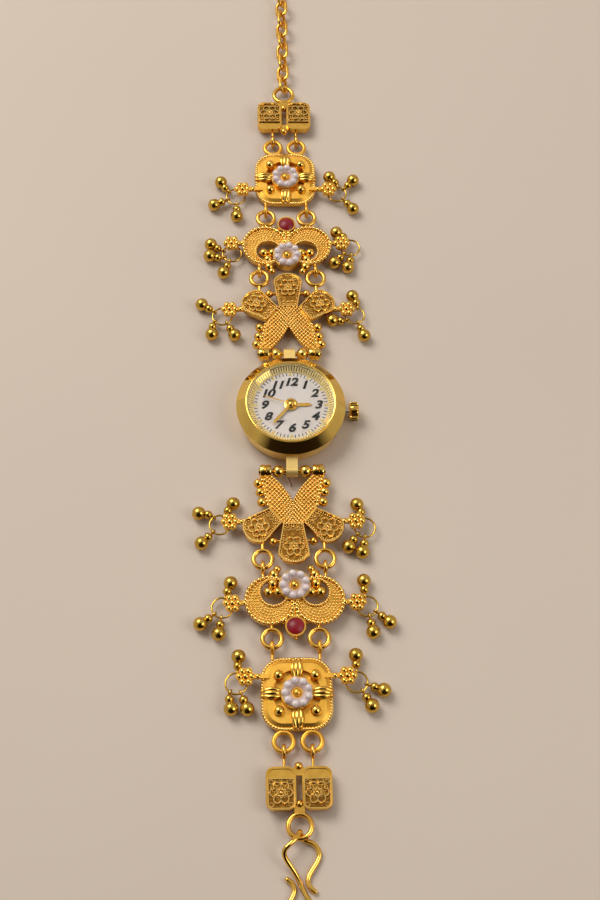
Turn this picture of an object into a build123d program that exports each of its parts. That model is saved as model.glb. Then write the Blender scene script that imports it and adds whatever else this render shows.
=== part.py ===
from build123d import *
import os
from math import cos, pi, radians, sin, sqrt

# A lady's bracelet watch lying flat: a small round quartz watch head, and on each side of it
# a strap of cast ornamental links, hooked ring to ring, ending in an S hook and in a chain.
# Millimetres. The origin is the centre of the case back's outer face, +X points to the
# crown, +Y to twelve o'clock and +Z up through the crystal.

os.makedirs("parts", exist_ok=True)

# Shared clearances
running_gap = 0.05
seat_gap = 0.04
cut_overrun = 1.0

# Case: the band, the back, the bezel and the crystal
case_radius = 12.0
band_radius = 11.6
band_foot_radius = 11.15
case_bore_radius = 10.2
back_radius = 10.7
back_thickness = 0.6
back_rim_wall = 0.5
back_rim_height = 0.6
band_top = 5.0
bezel_edge_height = 0.35
bezel_height = 2.25
bezel_lip_width = 0.35
bezel_lip_chamfer = 0.1
crystal_radius = 9.73
crystal_thickness = 0.7
crystal_dome = 0.3
crystal_ledge = 0.35
rehaut_radius = 8.45
rehaut_lip_height = 0.3
bezel_top = band_top + bezel_height
crystal_bottom = bezel_top - crystal_thickness - bezel_lip_chamfer / 2

# Dial and hands
dial_radius = 9.9
dial_thickness = 0.4
dial_top = band_top + dial_thickness
hand_thickness = 0.12
hand_gap = 0.14
hour_hand_length = 4.7
hour_hand_width = 0.8
minute_hand_length = 6.5
minute_hand_width = 0.65
second_hand_length = 6.6
second_hand_tail = 2.0
second_hand_width = 0.22
hand_hub_radius = 0.78
hour_hand_angle = 0.0
minute_hand_angle = 230.0
second_hand_angle = 161.0

# Movement
movement_radius = 8.0
holder_gap = 0.1
holder_bottom = 1.5
plate_bottom = 3.45
plate_top = 4.5
cannon_radius = 0.36
cannon_bore = 0.2
hour_tube_wall = 0.2
wheel_thickness = 0.16
tooth_depth = 0.12
motion_centre = 1.92
cannon_teeth = 12
minute_wheel_teeth = 36
minute_pinion_teeth = 10
hour_wheel_teeth = 40
seconds_wheel_radius = 2.0
seconds_wheel_teeth = 40
seconds_arbor_radius = cannon_bore - running_gap
seconds_wheel_height = 2.95
rotor_radius = 0.65
rotor_thickness = 0.5
rotor_arbor_radius = 0.15
rotor_x = 3.1
rotor_y = 2.2
rotor_gap = 0.2
stator_thickness = 0.3
stator_width = 3.0
stator_length = 8.4
coil_radius = 0.85
coil_length = 7.0
coil_y = 5.2
board_thickness = 0.25
board_bottom = 0.75
battery_radius = 3.4
battery_thickness = 2.1
battery_x = -2.6
battery_y = -3.7
battery_bottom = 0.75

# Crown and stem
crown_radius = 1.95
crown_length = 2.1
crown_stand_off = 0.9
crown_flutes = 24
crown_flute_depth = 0.16
crown_chamfer = 0.25
stem_radius = 0.38
stem_height = 2.3
stem_inner_end = 4.6
stem_groove_x = 6.3
stem_groove_width = 0.5
stem_groove_depth = 0.13
stem_thread_length = 1.3
lever_thickness = 0.3
lever_height = 1.3
lever_arm = 1.6

# Lugs and the bars that carry the straps
lug_width = 2.5
lug_radius = 1.25
lug_root_radius = 10.9
lug_root_top = 4.3
lug_root_foot = 1.3
bar_distance = 14.7
bar_height = 2.4
bar_radius = 0.5
bar_head_radius = 0.8
bar_head_length = 0.3
bead_radius = 1.38
bead_offset = 2.93
knuckle_offset = 5.7
knuckle_length = 2.3
knuckle_radius = 1.5
knuckle_groove = 0.3

# Rings and eyes that hook the links together: each pair is one hinge
ring_radius = 1.95
ring_wire = 0.5
eye_radius = 1.12
eye_wire = 0.42
fan_hinge_distance = 37.05
fan_hinge_height = 2.4
fan_hinge_half_width = 6.55
paisley_hinge_distance = 54.4
paisley_hinge_height = 2.0
paisley_hinge_half_width = 4.85
square_hinge_distance = 75.7
square_hinge_height = 1.6
square_hinge_half_width = 2.85
end_hinge_distance = 92.6
end_hinge_height = 1.8
end_ring_radius = 2.3
neck_length = 2.0
neck_radius = 0.4
shank_radius = 0.3
plate_thickness = 0.9
plate_drop = 0.2
rim_width = 0.42
rim_height = 0.3

# Fan link
fan_root = 15.6
fan_root_half_width = 6.5
fan_notch = 22.0
fan_base = 27.1
fan_base_half_width = 2.3
fan_shoulder_half_width = 5.0
fan_shoulder = 23.3
petal_length = 9.1
petal_root_width = 4.4
petal_tip_width = 6.6
petal_tip_arch = 2.5
side_petal_length = 8.0
side_petal_turn = 52.0
petal_flower_share = 0.58
flower_loops = 6
flower_loop_offset = 1.35
flower_loop_radius = 0.62
flower_wire = 0.16
flower_middle_radius = 0.42
pin_radius = 0.4
fan_pin_length = 1.7
fan_ball_radius = 0.9
fan_ball_shares = [(1.131, 0.218), (1.062, 0.387), (1.015, 0.581), (0.662, 1.315)]
fan_floret_offset = 13.4
fan_floret_distance = 26.6
fan_floret_edge = 10.2

# Paisley link
crescent_radius = 5.3
crescent_offset = 5.1
crescent_distance = 44.3
crescent_hole_radius = 2.75
crescent_hole_offset = 4.35
crescent_hole_distance = 42.6
paisley_ball_radius = 1.12
paisley_ball_shares = [(0.833, -1.094), (0.882, -0.708), (1.069, -0.358), (0.667, -0.358)]
small_ball_radius = 0.82
small_ball_shares = [(0.696, -1.321), (0.451, 0.811)]
paisley_floret_offset = 12.9
paisley_floret_distance = 44.9
paisley_flower_distance = 41.2
stem_ball_radius = 0.58
stem_ball_offset = 0.5
stem_ball_rows = 5
ruby_distance = 50.1
ruby_radius = 1.8
ruby_height = 1.2
ruby_cup_radius = 2.15
ruby_cup_height = 1.5
ruby_seat_depth = 0.5
ruby_nub_radius = 0.4

# Square link
square_half_width = 7.2
square_inner_distance = 56.6
square_outer_distance = 71.6
square_corner_radius = 4.4
square_edge_wire = 0.4
square_dome_height = 0.55
square_dome_slope = 0.9
square_well_radius = 4.9
square_well_depth = 0.5
square_ball_offset = 3.5
square_ball_radius = 0.85
square_leaf_length = 4.6
square_leaf_radius = 0.75
square_leaf_share = 0.7
square_floret_offset = 10.3
square_floret_distance = 60.6

# Pearl flowers
flower_radius = 3.35
flower_seat_height = 0.75
pearl_count = 9
pearl_radius = 0.8
pearl_ring_radius = 2.45
pearl_seat_share = 0.5
flower_bead_radius = 0.9

# End link
plaque_width = 5.9
plaque_length = 8.4
plaque_gap = 1.2
plaque_distance = 83.1
plaque_corner_radius = 1.6
plaque_thickness = 1.2
end_ball_radius = 0.85

# Florets and the bell clusters that hang from them
floret_balls = 6
floret_ball_radius = 0.8
floret_ring_radius = 1.25
floret_height = 2.6
floret_neck_width = 0.9
floret_neck_height = 0.8
bell_ring_radius = 2.2
bell_ring_wire = 0.22
bell_loop_radius = 0.52
bell_loop_wire = 0.2
bell_radius = 1.5
bell_length = 3.5
bell_cap_radius = 0.95
bell_cap_length = 1.5
floret_loop_radius = 0.66
floret_loop_wire = 0.24

# Hook and chain
hook_wire = 0.5
hook_half_length = 9.8
hook_half_width = 3.6
hook_pass_gap = 0.25
hook_pass_width = 0.75
chain_wire = 0.42
chain_bend_radius = 1.32
chain_link_span = 4.65
chain_gap = 0.2
chain_tilt = 57.0
chain_links = 9

# The same values by the link that they belong to
hinge_distance = {
    "fan": fan_hinge_distance,
    "paisley": paisley_hinge_distance,
    "square": square_hinge_distance,
    "end": end_hinge_distance,
}
hinge_height = {
    "fan": fan_hinge_height,
    "paisley": paisley_hinge_height,
    "square": square_hinge_height,
    "end": end_hinge_height,
}
hinge_half_width = {
    "fan": fan_hinge_half_width,
    "paisley": paisley_hinge_half_width,
    "square": square_hinge_half_width,
    "end": 0,
}
floret_places = {
    "fan": (fan_floret_offset, fan_floret_distance),
    "paisley": (paisley_floret_offset, paisley_floret_distance),
    "square": (square_floret_offset, square_floret_distance),
}

# A ball in a crowd is two stacked discs that just fit inside it: their radius and half height
ball_step_shares = [(0.94, 0.33), (0.71, 0.7)]

strap_sides = {"twelve": 1, "six": -1}
lateral_sides = {"right": 1, "left": -1}


def strap_place(side):
    """Turns a piece drawn for the twelve o'clock strap round to the strap on either side."""
    return Location((0, 0, 0), (0, 0, 90 * (1 - side)))


def outline_face(plane, points):
    """A flat face bounded by straight lines through the points."""
    with BuildSketch(plane) as face:
        with BuildLine():
            Polyline(*points, close=True)
        make_face()
    return face.sketch


def turned_ring(profile, centre=(0, 0, 0)):
    """Turns a profile of (radius, height) points about an upright axis through the centre."""
    plane = Plane(origin=centre, x_dir=(1, 0, 0), z_dir=(0, -1, 0))
    revolve(outline_face(plane, profile), axis=Axis(centre, (0, 0, 1)))


def domed_face(radius, edge_height, dome):
    """Half the section of a round plate whose top is a shallow part of a ball."""
    ball = (radius**2 + dome**2) / (2 * dome)
    middle = edge_height + dome - ball + sqrt(ball**2 - (radius / 2) ** 2)
    with BuildSketch(Plane.XZ) as face:
        with BuildLine():
            Line((0, 0), (radius, 0))
            Line((radius, 0), (radius, edge_height))
            ThreePointArc((radius, edge_height), (radius / 2, middle), (0, edge_height + dome))
            Line((0, edge_height + dome), (0, 0))
        make_face()
    return face.sketch


def finish(part, name):
    """Labels a finished piece and writes it."""
    part.label = name
    export_step(part, f"parts/{name}.step")


# The case


def lug_outline(side):
    """The side view of a lug: a tongue that runs from the band out round the bar."""
    far = side * bar_distance
    root = side * lug_root_radius
    with BuildSketch(Plane.YZ) as outline:
        with BuildLine():
            Polyline(
                (root, lug_root_foot),
                (root, lug_root_top),
                (far, bar_height + lug_radius),
                (far, bar_height - lug_radius),
                close=True,
            )
        make_face()
        with Locations((far, bar_height)):
            Circle(lug_radius)
            Circle(bar_radius + running_gap, mode=Mode.SUBTRACT)
    return outline.sketch


with BuildPart() as case_middle:
    turned_ring(
        [
            (case_bore_radius, back_thickness),
            (band_foot_radius, back_thickness),
            (band_radius, band_top - bezel_edge_height),
            (band_radius, band_top),
            (case_bore_radius, band_top),
        ]
    )
    for side in strap_sides.values():
        extrude(lug_outline(side), amount=lug_width / 2, both=True)
    with Locations(Plane.YZ.offset(case_bore_radius - cut_overrun).location):
        with Locations((0, stem_height)):
            Cylinder(
                stem_radius + running_gap,
                band_radius - case_bore_radius + 2 * cut_overrun,
                align=(Align.CENTER, Align.CENTER, Align.MIN),
                mode=Mode.SUBTRACT,
            )
finish(case_middle.part, "case_middle")

with BuildPart() as case_back:
    turned_ring(
        [
            (0, 0),
            (back_radius - back_rim_wall, 0),
            (back_radius, back_rim_wall / 2),
            (back_radius, back_thickness),
            (case_bore_radius - seat_gap, back_thickness),
            (case_bore_radius - seat_gap, back_thickness + back_rim_height),
            (case_bore_radius - back_rim_wall, back_thickness + back_rim_height),
            (case_bore_radius - back_rim_wall, back_thickness),
            (0, back_thickness),
        ]
    )
finish(case_back.part, "case_back")

with BuildPart() as bezel:
    crystal_bore = crystal_radius + seat_gap
    lip_radius = crystal_bore + bezel_lip_width
    turned_ring(
        [
            (dial_radius + seat_gap, band_top),
            (case_radius, band_top),
            (case_radius, band_top + bezel_edge_height),
            (lip_radius, bezel_top - bezel_lip_chamfer),
            (lip_radius - bezel_lip_chamfer, bezel_top),
            (crystal_bore, bezel_top),
            (crystal_bore, crystal_bottom),
            (crystal_radius - crystal_ledge, crystal_bottom),
            (rehaut_radius, dial_top + seat_gap + rehaut_lip_height),
            (rehaut_radius, dial_top + seat_gap),
            (dial_radius + seat_gap, dial_top + seat_gap),
        ]
    )
finish(bezel.part, "bezel")

with BuildPart() as crystal:
    crystal_section = domed_face(crystal_radius, crystal_thickness, crystal_dome)
    revolve(crystal_section.moved(Location((0, 0, crystal_bottom))), axis=Axis.Z)
finish(crystal.part, "crystal")

# The dial and the hands

hour_hand_bottom = dial_top + hand_gap + seat_gap
minute_hand_bottom = hour_hand_bottom + hand_thickness + hand_gap
second_hand_bottom = minute_hand_bottom + hand_thickness + hand_gap
hour_tube_bore = cannon_radius + running_gap
hour_tube_radius = hour_tube_bore + hour_tube_wall
dial_hole_radius = hour_tube_radius + running_gap

with BuildPart(Plane.XY.offset(band_top)) as dial:
    Cylinder(dial_radius, dial_thickness, align=(Align.CENTER, Align.CENTER, Align.MIN))
    Cylinder(
        dial_hole_radius,
        dial_thickness,
        align=(Align.CENTER, Align.CENTER, Align.MIN),
        mode=Mode.SUBTRACT,
    )
finish(dial.part, "dial")


def hand_face(bottom, angle, length, width, tail, hub, bore):
    """A tapering hand with a round hub, seen from above."""
    shoulder_share = 0.8
    root_share = 0.7
    plane = Plane.XY.offset(bottom).rotated((0, 0, angle))
    with BuildSketch(plane) as face:
        with BuildLine():
            Polyline(
                (-tail, -width * root_share / 2),
                (length * shoulder_share, -width / 2),
                (length, 0),
                (length * shoulder_share, width / 2),
                (-tail, width * root_share / 2),
                close=True,
            )
        make_face()
        Circle(hub)
        if bore:
            Circle(bore, mode=Mode.SUBTRACT)
    return face.sketch


with BuildPart() as hour_hand:
    extrude(
        hand_face(
            hour_hand_bottom, hour_hand_angle, hour_hand_length, hour_hand_width,
            0, hand_hub_radius, hour_tube_radius,
        ),
        amount=hand_thickness,
    )
finish(hour_hand.part, "hour_hand")

with BuildPart() as minute_hand:
    extrude(
        hand_face(
            minute_hand_bottom, minute_hand_angle, minute_hand_length, minute_hand_width,
            0, hand_hub_radius, cannon_radius,
        ),
        amount=hand_thickness,
    )
finish(minute_hand.part, "minute_hand")

with BuildPart() as second_hand:
    extrude(
        hand_face(
            second_hand_bottom, second_hand_angle, second_hand_length, second_hand_width,
            second_hand_tail, hand_hub_radius * 2 / 3, seconds_arbor_radius,
        ),
        amount=hand_thickness,
    )
finish(second_hand.part, "second_hand")

# The movement


def toothed_face(plane, radius, teeth, depth, bore):
    """A wheel with straight-sided teeth about its pitch radius, with room to run in mesh."""
    tip_share, root_share = 0.16, 0.25
    step = 2 * pi / teeth
    points = []
    for tooth in range(teeth):
        for reach, turn in (
            (radius - depth / 2, -root_share),
            (radius + depth / 3, -tip_share / 2),
            (radius + depth / 3, tip_share / 2),
            (radius - depth / 2, root_share),
        ):
            angle = (tooth + turn) * step
            points.append((reach * cos(angle), reach * sin(angle)))
    with BuildSketch(plane) as face:
        with BuildLine():
            Polyline(*points, close=True)
        make_face()
        if bore:
            Circle(bore, mode=Mode.SUBTRACT)
    return face.sketch


cannon_pitch = motion_centre * cannon_teeth / (cannon_teeth + minute_wheel_teeth)
minute_wheel_pitch = motion_centre - cannon_pitch
minute_pinion_pitch = motion_centre * minute_pinion_teeth / (minute_pinion_teeth + hour_wheel_teeth)
hour_wheel_pitch = motion_centre - minute_pinion_pitch
minute_wheel_bottom = plate_top + seat_gap
hour_wheel_bottom = minute_wheel_bottom + wheel_thickness + seat_gap
minute_arbor_radius = rotor_arbor_radius

with BuildPart() as cannon_pinion:
    extrude(
        toothed_face(
            Plane.XY.offset(minute_wheel_bottom), cannon_pitch, cannon_teeth, tooth_depth, 0
        ),
        amount=wheel_thickness,
    )
    tube_bottom = plate_bottom
    with Locations((0, 0, tube_bottom)):
        Cylinder(
            cannon_radius,
            minute_hand_bottom + hand_thickness - tube_bottom,
            align=(Align.CENTER, Align.CENTER, Align.MIN),
        )
        Cylinder(
            cannon_bore,
            minute_hand_bottom + hand_thickness - tube_bottom,
            align=(Align.CENTER, Align.CENTER, Align.MIN),
            mode=Mode.SUBTRACT,
        )
finish(cannon_pinion.part, "cannon_pinion")

with BuildPart() as hour_wheel:
    extrude(
        toothed_face(
            Plane.XY.offset(hour_wheel_bottom), hour_wheel_pitch, hour_wheel_teeth, tooth_depth, 0
        ),
        amount=wheel_thickness,
    )
    with Locations((0, 0, hour_wheel_bottom)):
        Cylinder(
            hour_tube_radius,
            hour_hand_bottom + hand_thickness - hour_wheel_bottom,
            align=(Align.CENTER, Align.CENTER, Align.MIN),
        )
        Cylinder(
            hour_tube_bore,
            hour_hand_bottom + hand_thickness - hour_wheel_bottom,
            align=(Align.CENTER, Align.CENTER, Align.MIN),
            mode=Mode.SUBTRACT,
        )
finish(hour_wheel.part, "hour_wheel")

with BuildPart() as minute_wheel:
    mesh_turn = 180 / minute_wheel_teeth
    wheel_plane = Plane(origin=(0, motion_centre, minute_wheel_bottom))
    pinion_turn = 180 / minute_pinion_teeth
    extrude(
        toothed_face(
            wheel_plane.rotated((0, 0, mesh_turn)), minute_wheel_pitch, minute_wheel_teeth,
            tooth_depth, 0,
        ),
        amount=wheel_thickness,
    )
    extrude(
        toothed_face(
            wheel_plane.offset(wheel_thickness).rotated((0, 0, pinion_turn)),
            minute_pinion_pitch, minute_pinion_teeth, tooth_depth, 0,
        ),
        amount=wheel_thickness + seat_gap,
    )
    with Locations((0, motion_centre, plate_bottom)):
        Cylinder(
            minute_arbor_radius,
            minute_wheel_bottom - plate_bottom,
            align=(Align.CENTER, Align.CENTER, Align.MIN),
        )
finish(minute_wheel.part, "minute_wheel")

with BuildPart() as seconds_wheel:
    extrude(
        toothed_face(
            Plane.XY.offset(seconds_wheel_height), seconds_wheel_radius, seconds_wheel_teeth,
            tooth_depth, 0,
        ),
        amount=wheel_thickness,
    )
    with Locations((0, 0, seconds_wheel_height)):
        Cylinder(
            seconds_arbor_radius,
            second_hand_bottom + hand_thickness - seconds_wheel_height,
            align=(Align.CENTER, Align.CENTER, Align.MIN),
        )
finish(seconds_wheel.part, "seconds_wheel")

rotor_bottom = plate_bottom - stator_thickness - rotor_gap - rotor_thickness / 2
with BuildPart() as rotor:
    with Locations((rotor_x, rotor_y, rotor_bottom)):
        Cylinder(rotor_radius, rotor_thickness, align=(Align.CENTER, Align.CENTER, Align.MIN))
        Cylinder(
            rotor_arbor_radius,
            plate_top - rotor_bottom,
            align=(Align.CENTER, Align.CENTER, Align.MIN),
        )
finish(rotor.part, "rotor")

stator_bottom = rotor_bottom + (rotor_thickness - stator_thickness) / 2
with BuildPart() as stator:
    with BuildSketch(Plane.XY.offset(stator_bottom)) as stator_face:
        with Locations((0, (rotor_y + coil_y) / 2 + stator_width / 2)):
            Rectangle(stator_length, stator_width)
        with Locations((rotor_x, rotor_y + stator_width / 4)):
            Rectangle(stator_width, stator_width * 3 / 2)
        with Locations((rotor_x, rotor_y)):
            Circle(rotor_radius + rotor_gap, mode=Mode.SUBTRACT)
        Circle(seconds_wheel_radius + tooth_depth + rotor_gap / 2, mode=Mode.SUBTRACT)
    extrude(stator_face.sketch, amount=stator_thickness)
finish(stator.part, "stator")

with BuildPart() as coil:
    with Locations(Location((0, coil_y, stator_bottom - coil_radius), (0, 90, 0))):
        Cylinder(coil_radius, coil_length)
finish(coil.part, "coil")

with BuildPart() as circuit_board:
    with BuildSketch(Plane.XY.offset(board_bottom)) as board_face:
        Circle(movement_radius - holder_gap)
        with Locations((0, -movement_radius / 2 - seat_gap)):
            Rectangle(2 * movement_radius, movement_radius, mode=Mode.SUBTRACT)
    extrude(board_face.sketch, amount=board_thickness)
finish(circuit_board.part, "circuit_board")

with BuildPart() as battery:
    with Locations((battery_x, battery_y, battery_bottom)):
        Cylinder(
            battery_radius, battery_thickness, align=(Align.CENTER, Align.CENTER, Align.MIN)
        )
finish(battery.part, "battery")

with BuildPart() as main_plate:
    with Locations((0, 0, plate_bottom)):
        Cylinder(
            movement_radius,
            plate_top - plate_bottom,
            align=(Align.CENTER, Align.CENTER, Align.MIN),
        )
        Cylinder(
            cannon_radius + running_gap,
            plate_top - plate_bottom,
            align=(Align.CENTER, Align.CENTER, Align.MIN),
            mode=Mode.SUBTRACT,
        )
    for arbor_x, arbor_y, arbor_radius in (
        (0, motion_centre, minute_arbor_radius),
        (rotor_x, rotor_y, rotor_arbor_radius),
    ):
        with Locations((arbor_x, arbor_y, plate_bottom)):
            Cylinder(
                arbor_radius + running_gap,
                plate_top - plate_bottom,
                align=(Align.CENTER, Align.CENTER, Align.MIN),
                mode=Mode.SUBTRACT,
            )
finish(main_plate.part, "main_plate")

with BuildPart() as movement_holder:
    turned_ring(
        [
            (movement_radius + holder_gap, holder_bottom),
            (case_bore_radius - holder_gap, holder_bottom),
            (case_bore_radius - holder_gap, band_top),
            (movement_radius - holder_gap, band_top),
            (movement_radius - holder_gap, plate_top + seat_gap),
            (movement_radius + holder_gap, plate_top + seat_gap),
        ]
    )
    with Locations(Plane.YZ.offset(movement_radius - cut_overrun).location):
        with Locations((0, stem_height)):
            Cylinder(
                stem_radius + running_gap,
                case_bore_radius - movement_radius + 2 * cut_overrun,
                align=(Align.CENTER, Align.CENTER, Align.MIN),
                mode=Mode.SUBTRACT,
            )
finish(movement_holder.part, "movement_holder")

# The crown and its stem, which pull out along +X and turn

crown_start = case_radius + crown_stand_off
with BuildPart(Plane.YZ.offset(crown_start)) as crown:
    with Locations((0, stem_height)):
        Cylinder(crown_radius, crown_length, align=(Align.CENTER, Align.CENTER, Align.MIN))
    chamfer(crown.edges().filter_by(GeomType.CIRCLE), length=crown_chamfer)
    with Locations((0, stem_height)):
        with PolarLocations(crown_radius, crown_flutes):
            Cylinder(
                crown_flute_depth,
                crown_length,
                align=(Align.CENTER, Align.CENTER, Align.MIN),
                mode=Mode.SUBTRACT,
            )
        Cylinder(
            stem_radius,
            stem_thread_length,
            align=(Align.CENTER, Align.CENTER, Align.MIN),
            mode=Mode.SUBTRACT,
        )
finish(crown.part, "crown")

with BuildPart(Plane.YZ.offset(stem_inner_end)) as winding_stem:
    with Locations((0, stem_height)):
        Cylinder(
            stem_radius,
            crown_start + stem_thread_length - stem_inner_end,
            align=(Align.CENTER, Align.CENTER, Align.MIN),
        )
    with Locations((0, stem_height, stem_groove_x - stem_inner_end)):
        Cylinder(stem_radius + cut_overrun, stem_groove_width, mode=Mode.SUBTRACT)
        Cylinder(stem_radius - stem_groove_depth, stem_groove_width)
finish(winding_stem.part, "winding_stem")

with BuildPart() as setting_lever:
    with BuildSketch(Plane.YZ.offset(stem_groove_x - lever_thickness / 2)) as lever_face:
        with Locations((-lever_arm / 2, stem_height)):
            Rectangle(lever_arm * 3 / 2, lever_height)
        with Locations((0, stem_height)):
            Circle(stem_radius - stem_groove_depth + running_gap, mode=Mode.SUBTRACT)
            Rectangle(
                2 * (stem_radius - stem_groove_depth + running_gap),
                lever_height,
                align=(Align.CENTER, Align.MIN),
                mode=Mode.SUBTRACT,
            )
    extrude(lever_face.sketch, amount=lever_thickness)
finish(setting_lever.part, "setting_lever")

# The two bars and their beads

with BuildPart() as lug_bars:
    bar_half_length = knuckle_offset + knuckle_length / 2 + running_gap + bar_head_length
    for side in strap_sides.values():
        with Locations(Location((0, side * bar_distance, bar_height), (0, 90, 0))):
            Cylinder(bar_radius, 2 * bar_half_length)
            with Locations(
                (0, 0, bar_half_length - bar_head_length / 2),
                (0, 0, bar_head_length / 2 - bar_half_length),
            ):
                Cylinder(bar_head_radius, bar_head_length)
finish(lug_bars.part, "lug_bars")

with BuildPart() as bar_beads:
    for side in strap_sides.values():
        for lateral in lateral_sides.values():
            centre = (lateral * bead_offset, side * bar_distance, bar_height)
            with Locations(Location(centre, (0, 90, 0))):
                Sphere(bead_radius)
                Cylinder(bar_radius + running_gap, 2 * bead_radius, mode=Mode.SUBTRACT)
finish(bar_beads.part, "bar_beads")

# Forms that several links share


def add_rings(name):
    """The flat soldered rings at a link's outer end."""
    half_width = hinge_half_width[name]
    radius = ring_radius if half_width else end_ring_radius
    distance = hinge_distance[name] - radius
    for offset_x in {half_width, -half_width}:
        with Locations((offset_x, distance, hinge_height[name])):
            Torus(radius, ring_wire)
        edge = (offset_x, distance - radius, hinge_height[name])
        with Locations(Location(edge, (90, 0, 0))):
            Cylinder(neck_radius, neck_length, align=(Align.CENTER, Align.CENTER, Align.MIN))


def add_eyes(name, reach):
    """The upright eyes that hook round the neighbour's rings, with shanks out to the plate."""
    half_width, distance, height = hinge_half_width[name], hinge_distance[name], hinge_height[name]
    for lateral in lateral_sides.values():
        with Locations(Location((lateral * half_width, distance, height), (0, 90, 0))):
            Torus(eye_radius, eye_wire)
        start = distance + eye_radius
        with Locations(Location((lateral * half_width, start, height), (-90, 0, 0))):
            Cylinder(shank_radius, reach - start, align=(Align.CENTER, Align.CENTER, Align.MIN))


def add_plate(face, thickness):
    """A flat plate with a raised rim along its edge."""
    inner = offset(face, amount=-rim_width, kind=Kind.ARC, mode=Mode.PRIVATE)
    plate = extrude(face, amount=thickness + rim_height, mode=Mode.PRIVATE)
    recess = extrude(inner, amount=rim_height, mode=Mode.PRIVATE)
    add(plate - recess.moved(Location((0, 0, thickness))))


def add_floret(name, side, lateral, edge):
    """A seven-lobed floret on a neck, and under it the loop for its bell cluster."""
    offset_x, distance = floret_places[name]
    outward = lateral * side
    heading = bell_directions[name, side, lateral][0]
    with Locations((outward * (edge + offset_x) / 2, distance, floret_height)):
        Box(offset_x - edge, floret_neck_width, floret_neck_height)
    for radius_share, height_share in ball_step_shares:
        with BuildSketch(Plane.XY.offset(floret_height)) as face:
            with Locations((outward * offset_x, distance)):
                Circle(floret_ball_radius * radius_share)
                with PolarLocations(floret_ring_radius, floret_balls):
                    Circle(floret_ball_radius * radius_share)
        extrude(face.sketch, amount=floret_ball_radius * height_share, both=True)
    loop = Location((outward * offset_x, distance, bell_radius), (0, 0, drawn_turn(outward, heading)))
    with Locations(loop * Location((0, 0, 0), (90, 0, 0))):
        Torus(floret_loop_radius, floret_loop_wire)


def drawn_turn(outward, direction):
    """A direction of the table, 0 straight out and 90 along the strap, as a turn about Z."""
    return direction if outward > 0 else 180 - direction


def add_pearl_seat(distance, foot, height):
    """The round disc that carries a pearl flower, with its gold bead in the middle."""
    with Locations((0, distance, foot)):
        Cylinder(flower_radius, height, align=(Align.CENTER, Align.CENTER, Align.MIN))
    with Locations((0, distance, foot + height)):
        Sphere(flower_bead_radius)


def pearl_ring(distance, seat_height):
    """The ring of pearls, each cut flat where it is glued to its disc."""
    sink = pearl_radius * pearl_seat_share
    with Locations(Location((0, distance, seat_height))):
        with PolarLocations(pearl_ring_radius, pearl_count):
            with Locations((0, 0, sink)):
                Sphere(pearl_radius)
        Cylinder(
            flower_radius + cut_overrun,
            pearl_radius,
            align=(Align.CENTER, Align.CENTER, Align.MAX),
            mode=Mode.SUBTRACT,
        )


def ball_row(places, height, radius):
    """Equal balls at mirrored places on both sides of the strap's middle line, on short pins."""
    for x, y in places:
        for lateral in lateral_sides.values():
            with Locations((lateral * x, y, height)):
                Sphere(radius)
            pin_middle = lateral * (x - fan_pin_length / 2)
            with Locations(Location((pin_middle, y, height), (0, 90, 0))):
                Cylinder(pin_radius, fan_pin_length)


def boss_row(places, height, radius):
    """Crowded balls at mirrored places, each drawn as stacked discs."""
    for radius_share, height_share in ball_step_shares:
        with BuildSketch(Plane.XY.offset(height)) as face:
            for x, y in places:
                with Locations((x, y), (-x, y)):
                    Circle(radius * radius_share)
        extrude(face.sketch, amount=radius * height_share, both=True)


def add_wire_flower(spot):
    """A flower of wire loops round a middle boss, laid in low relief on a plate."""
    with BuildSketch(Plane(spot).offset(-flower_wire / 2)) as face:
        with PolarLocations(flower_loop_offset, flower_loops):
            Circle(flower_loop_radius + flower_wire / 2)
        with PolarLocations(flower_loop_offset, flower_loops):
            Circle(flower_loop_radius - flower_wire / 2, mode=Mode.SUBTRACT)
        Circle(flower_middle_radius)
    extrude(face.sketch, amount=flower_wire * 3 / 2)


def petal_face(plane, length):
    """A petal: a narrow straight root, flaring sides and an arched tip."""
    shoulder = length - petal_tip_arch
    with BuildSketch(plane) as face:
        with BuildLine():
            Line((-petal_tip_width / 2, shoulder), (-petal_root_width / 2, 0))
            Line((-petal_root_width / 2, 0), (petal_root_width / 2, 0))
            Line((petal_root_width / 2, 0), (petal_tip_width / 2, shoulder))
            ThreePointArc(
                (petal_tip_width / 2, shoulder), (0, length), (-petal_tip_width / 2, shoulder)
            )
        make_face()
    return face.sketch


def petal_planes(height):
    """Where the three petals of a fan link start, and which way they point."""
    places = [(Plane((0, fan_base, height)), petal_length)]
    root_x = (fan_base_half_width + fan_shoulder_half_width) / 2
    root_y = (fan_base + fan_shoulder) / 2
    for lateral in lateral_sides.values():
        plane = Plane((lateral * root_x, root_y, height)).rotated((0, 0, -lateral * side_petal_turn))
        places.append((plane, side_petal_length))
    return places


def fan_arms_face(height):
    """The V of two leaf-shaped arms that join the knuckles to the petals."""
    inner_x = knuckle_offset - knuckle_length / 2
    bulge_x_share, bulge_y_share = 0.48, 0.4
    with BuildSketch(Plane.XY.offset(height)) as face:
        with BuildLine():
            for lateral in (1, -1):
                Line(
                    (lateral * fan_root_half_width, fan_root), (lateral * inner_x, fan_root)
                )
                ThreePointArc(
                    (lateral * inner_x, fan_root),
                    (
                        lateral * inner_x * bulge_x_share,
                        fan_root + (fan_notch - fan_root) * bulge_y_share,
                    ),
                    (0, fan_notch),
                )
                Polyline(
                    (lateral * fan_root_half_width, fan_root),
                    (lateral * fan_shoulder_half_width, fan_shoulder),
                    (lateral * fan_base_half_width, fan_base),
                    (0, fan_base),
                )
        make_face()
    return face.sketch


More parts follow.
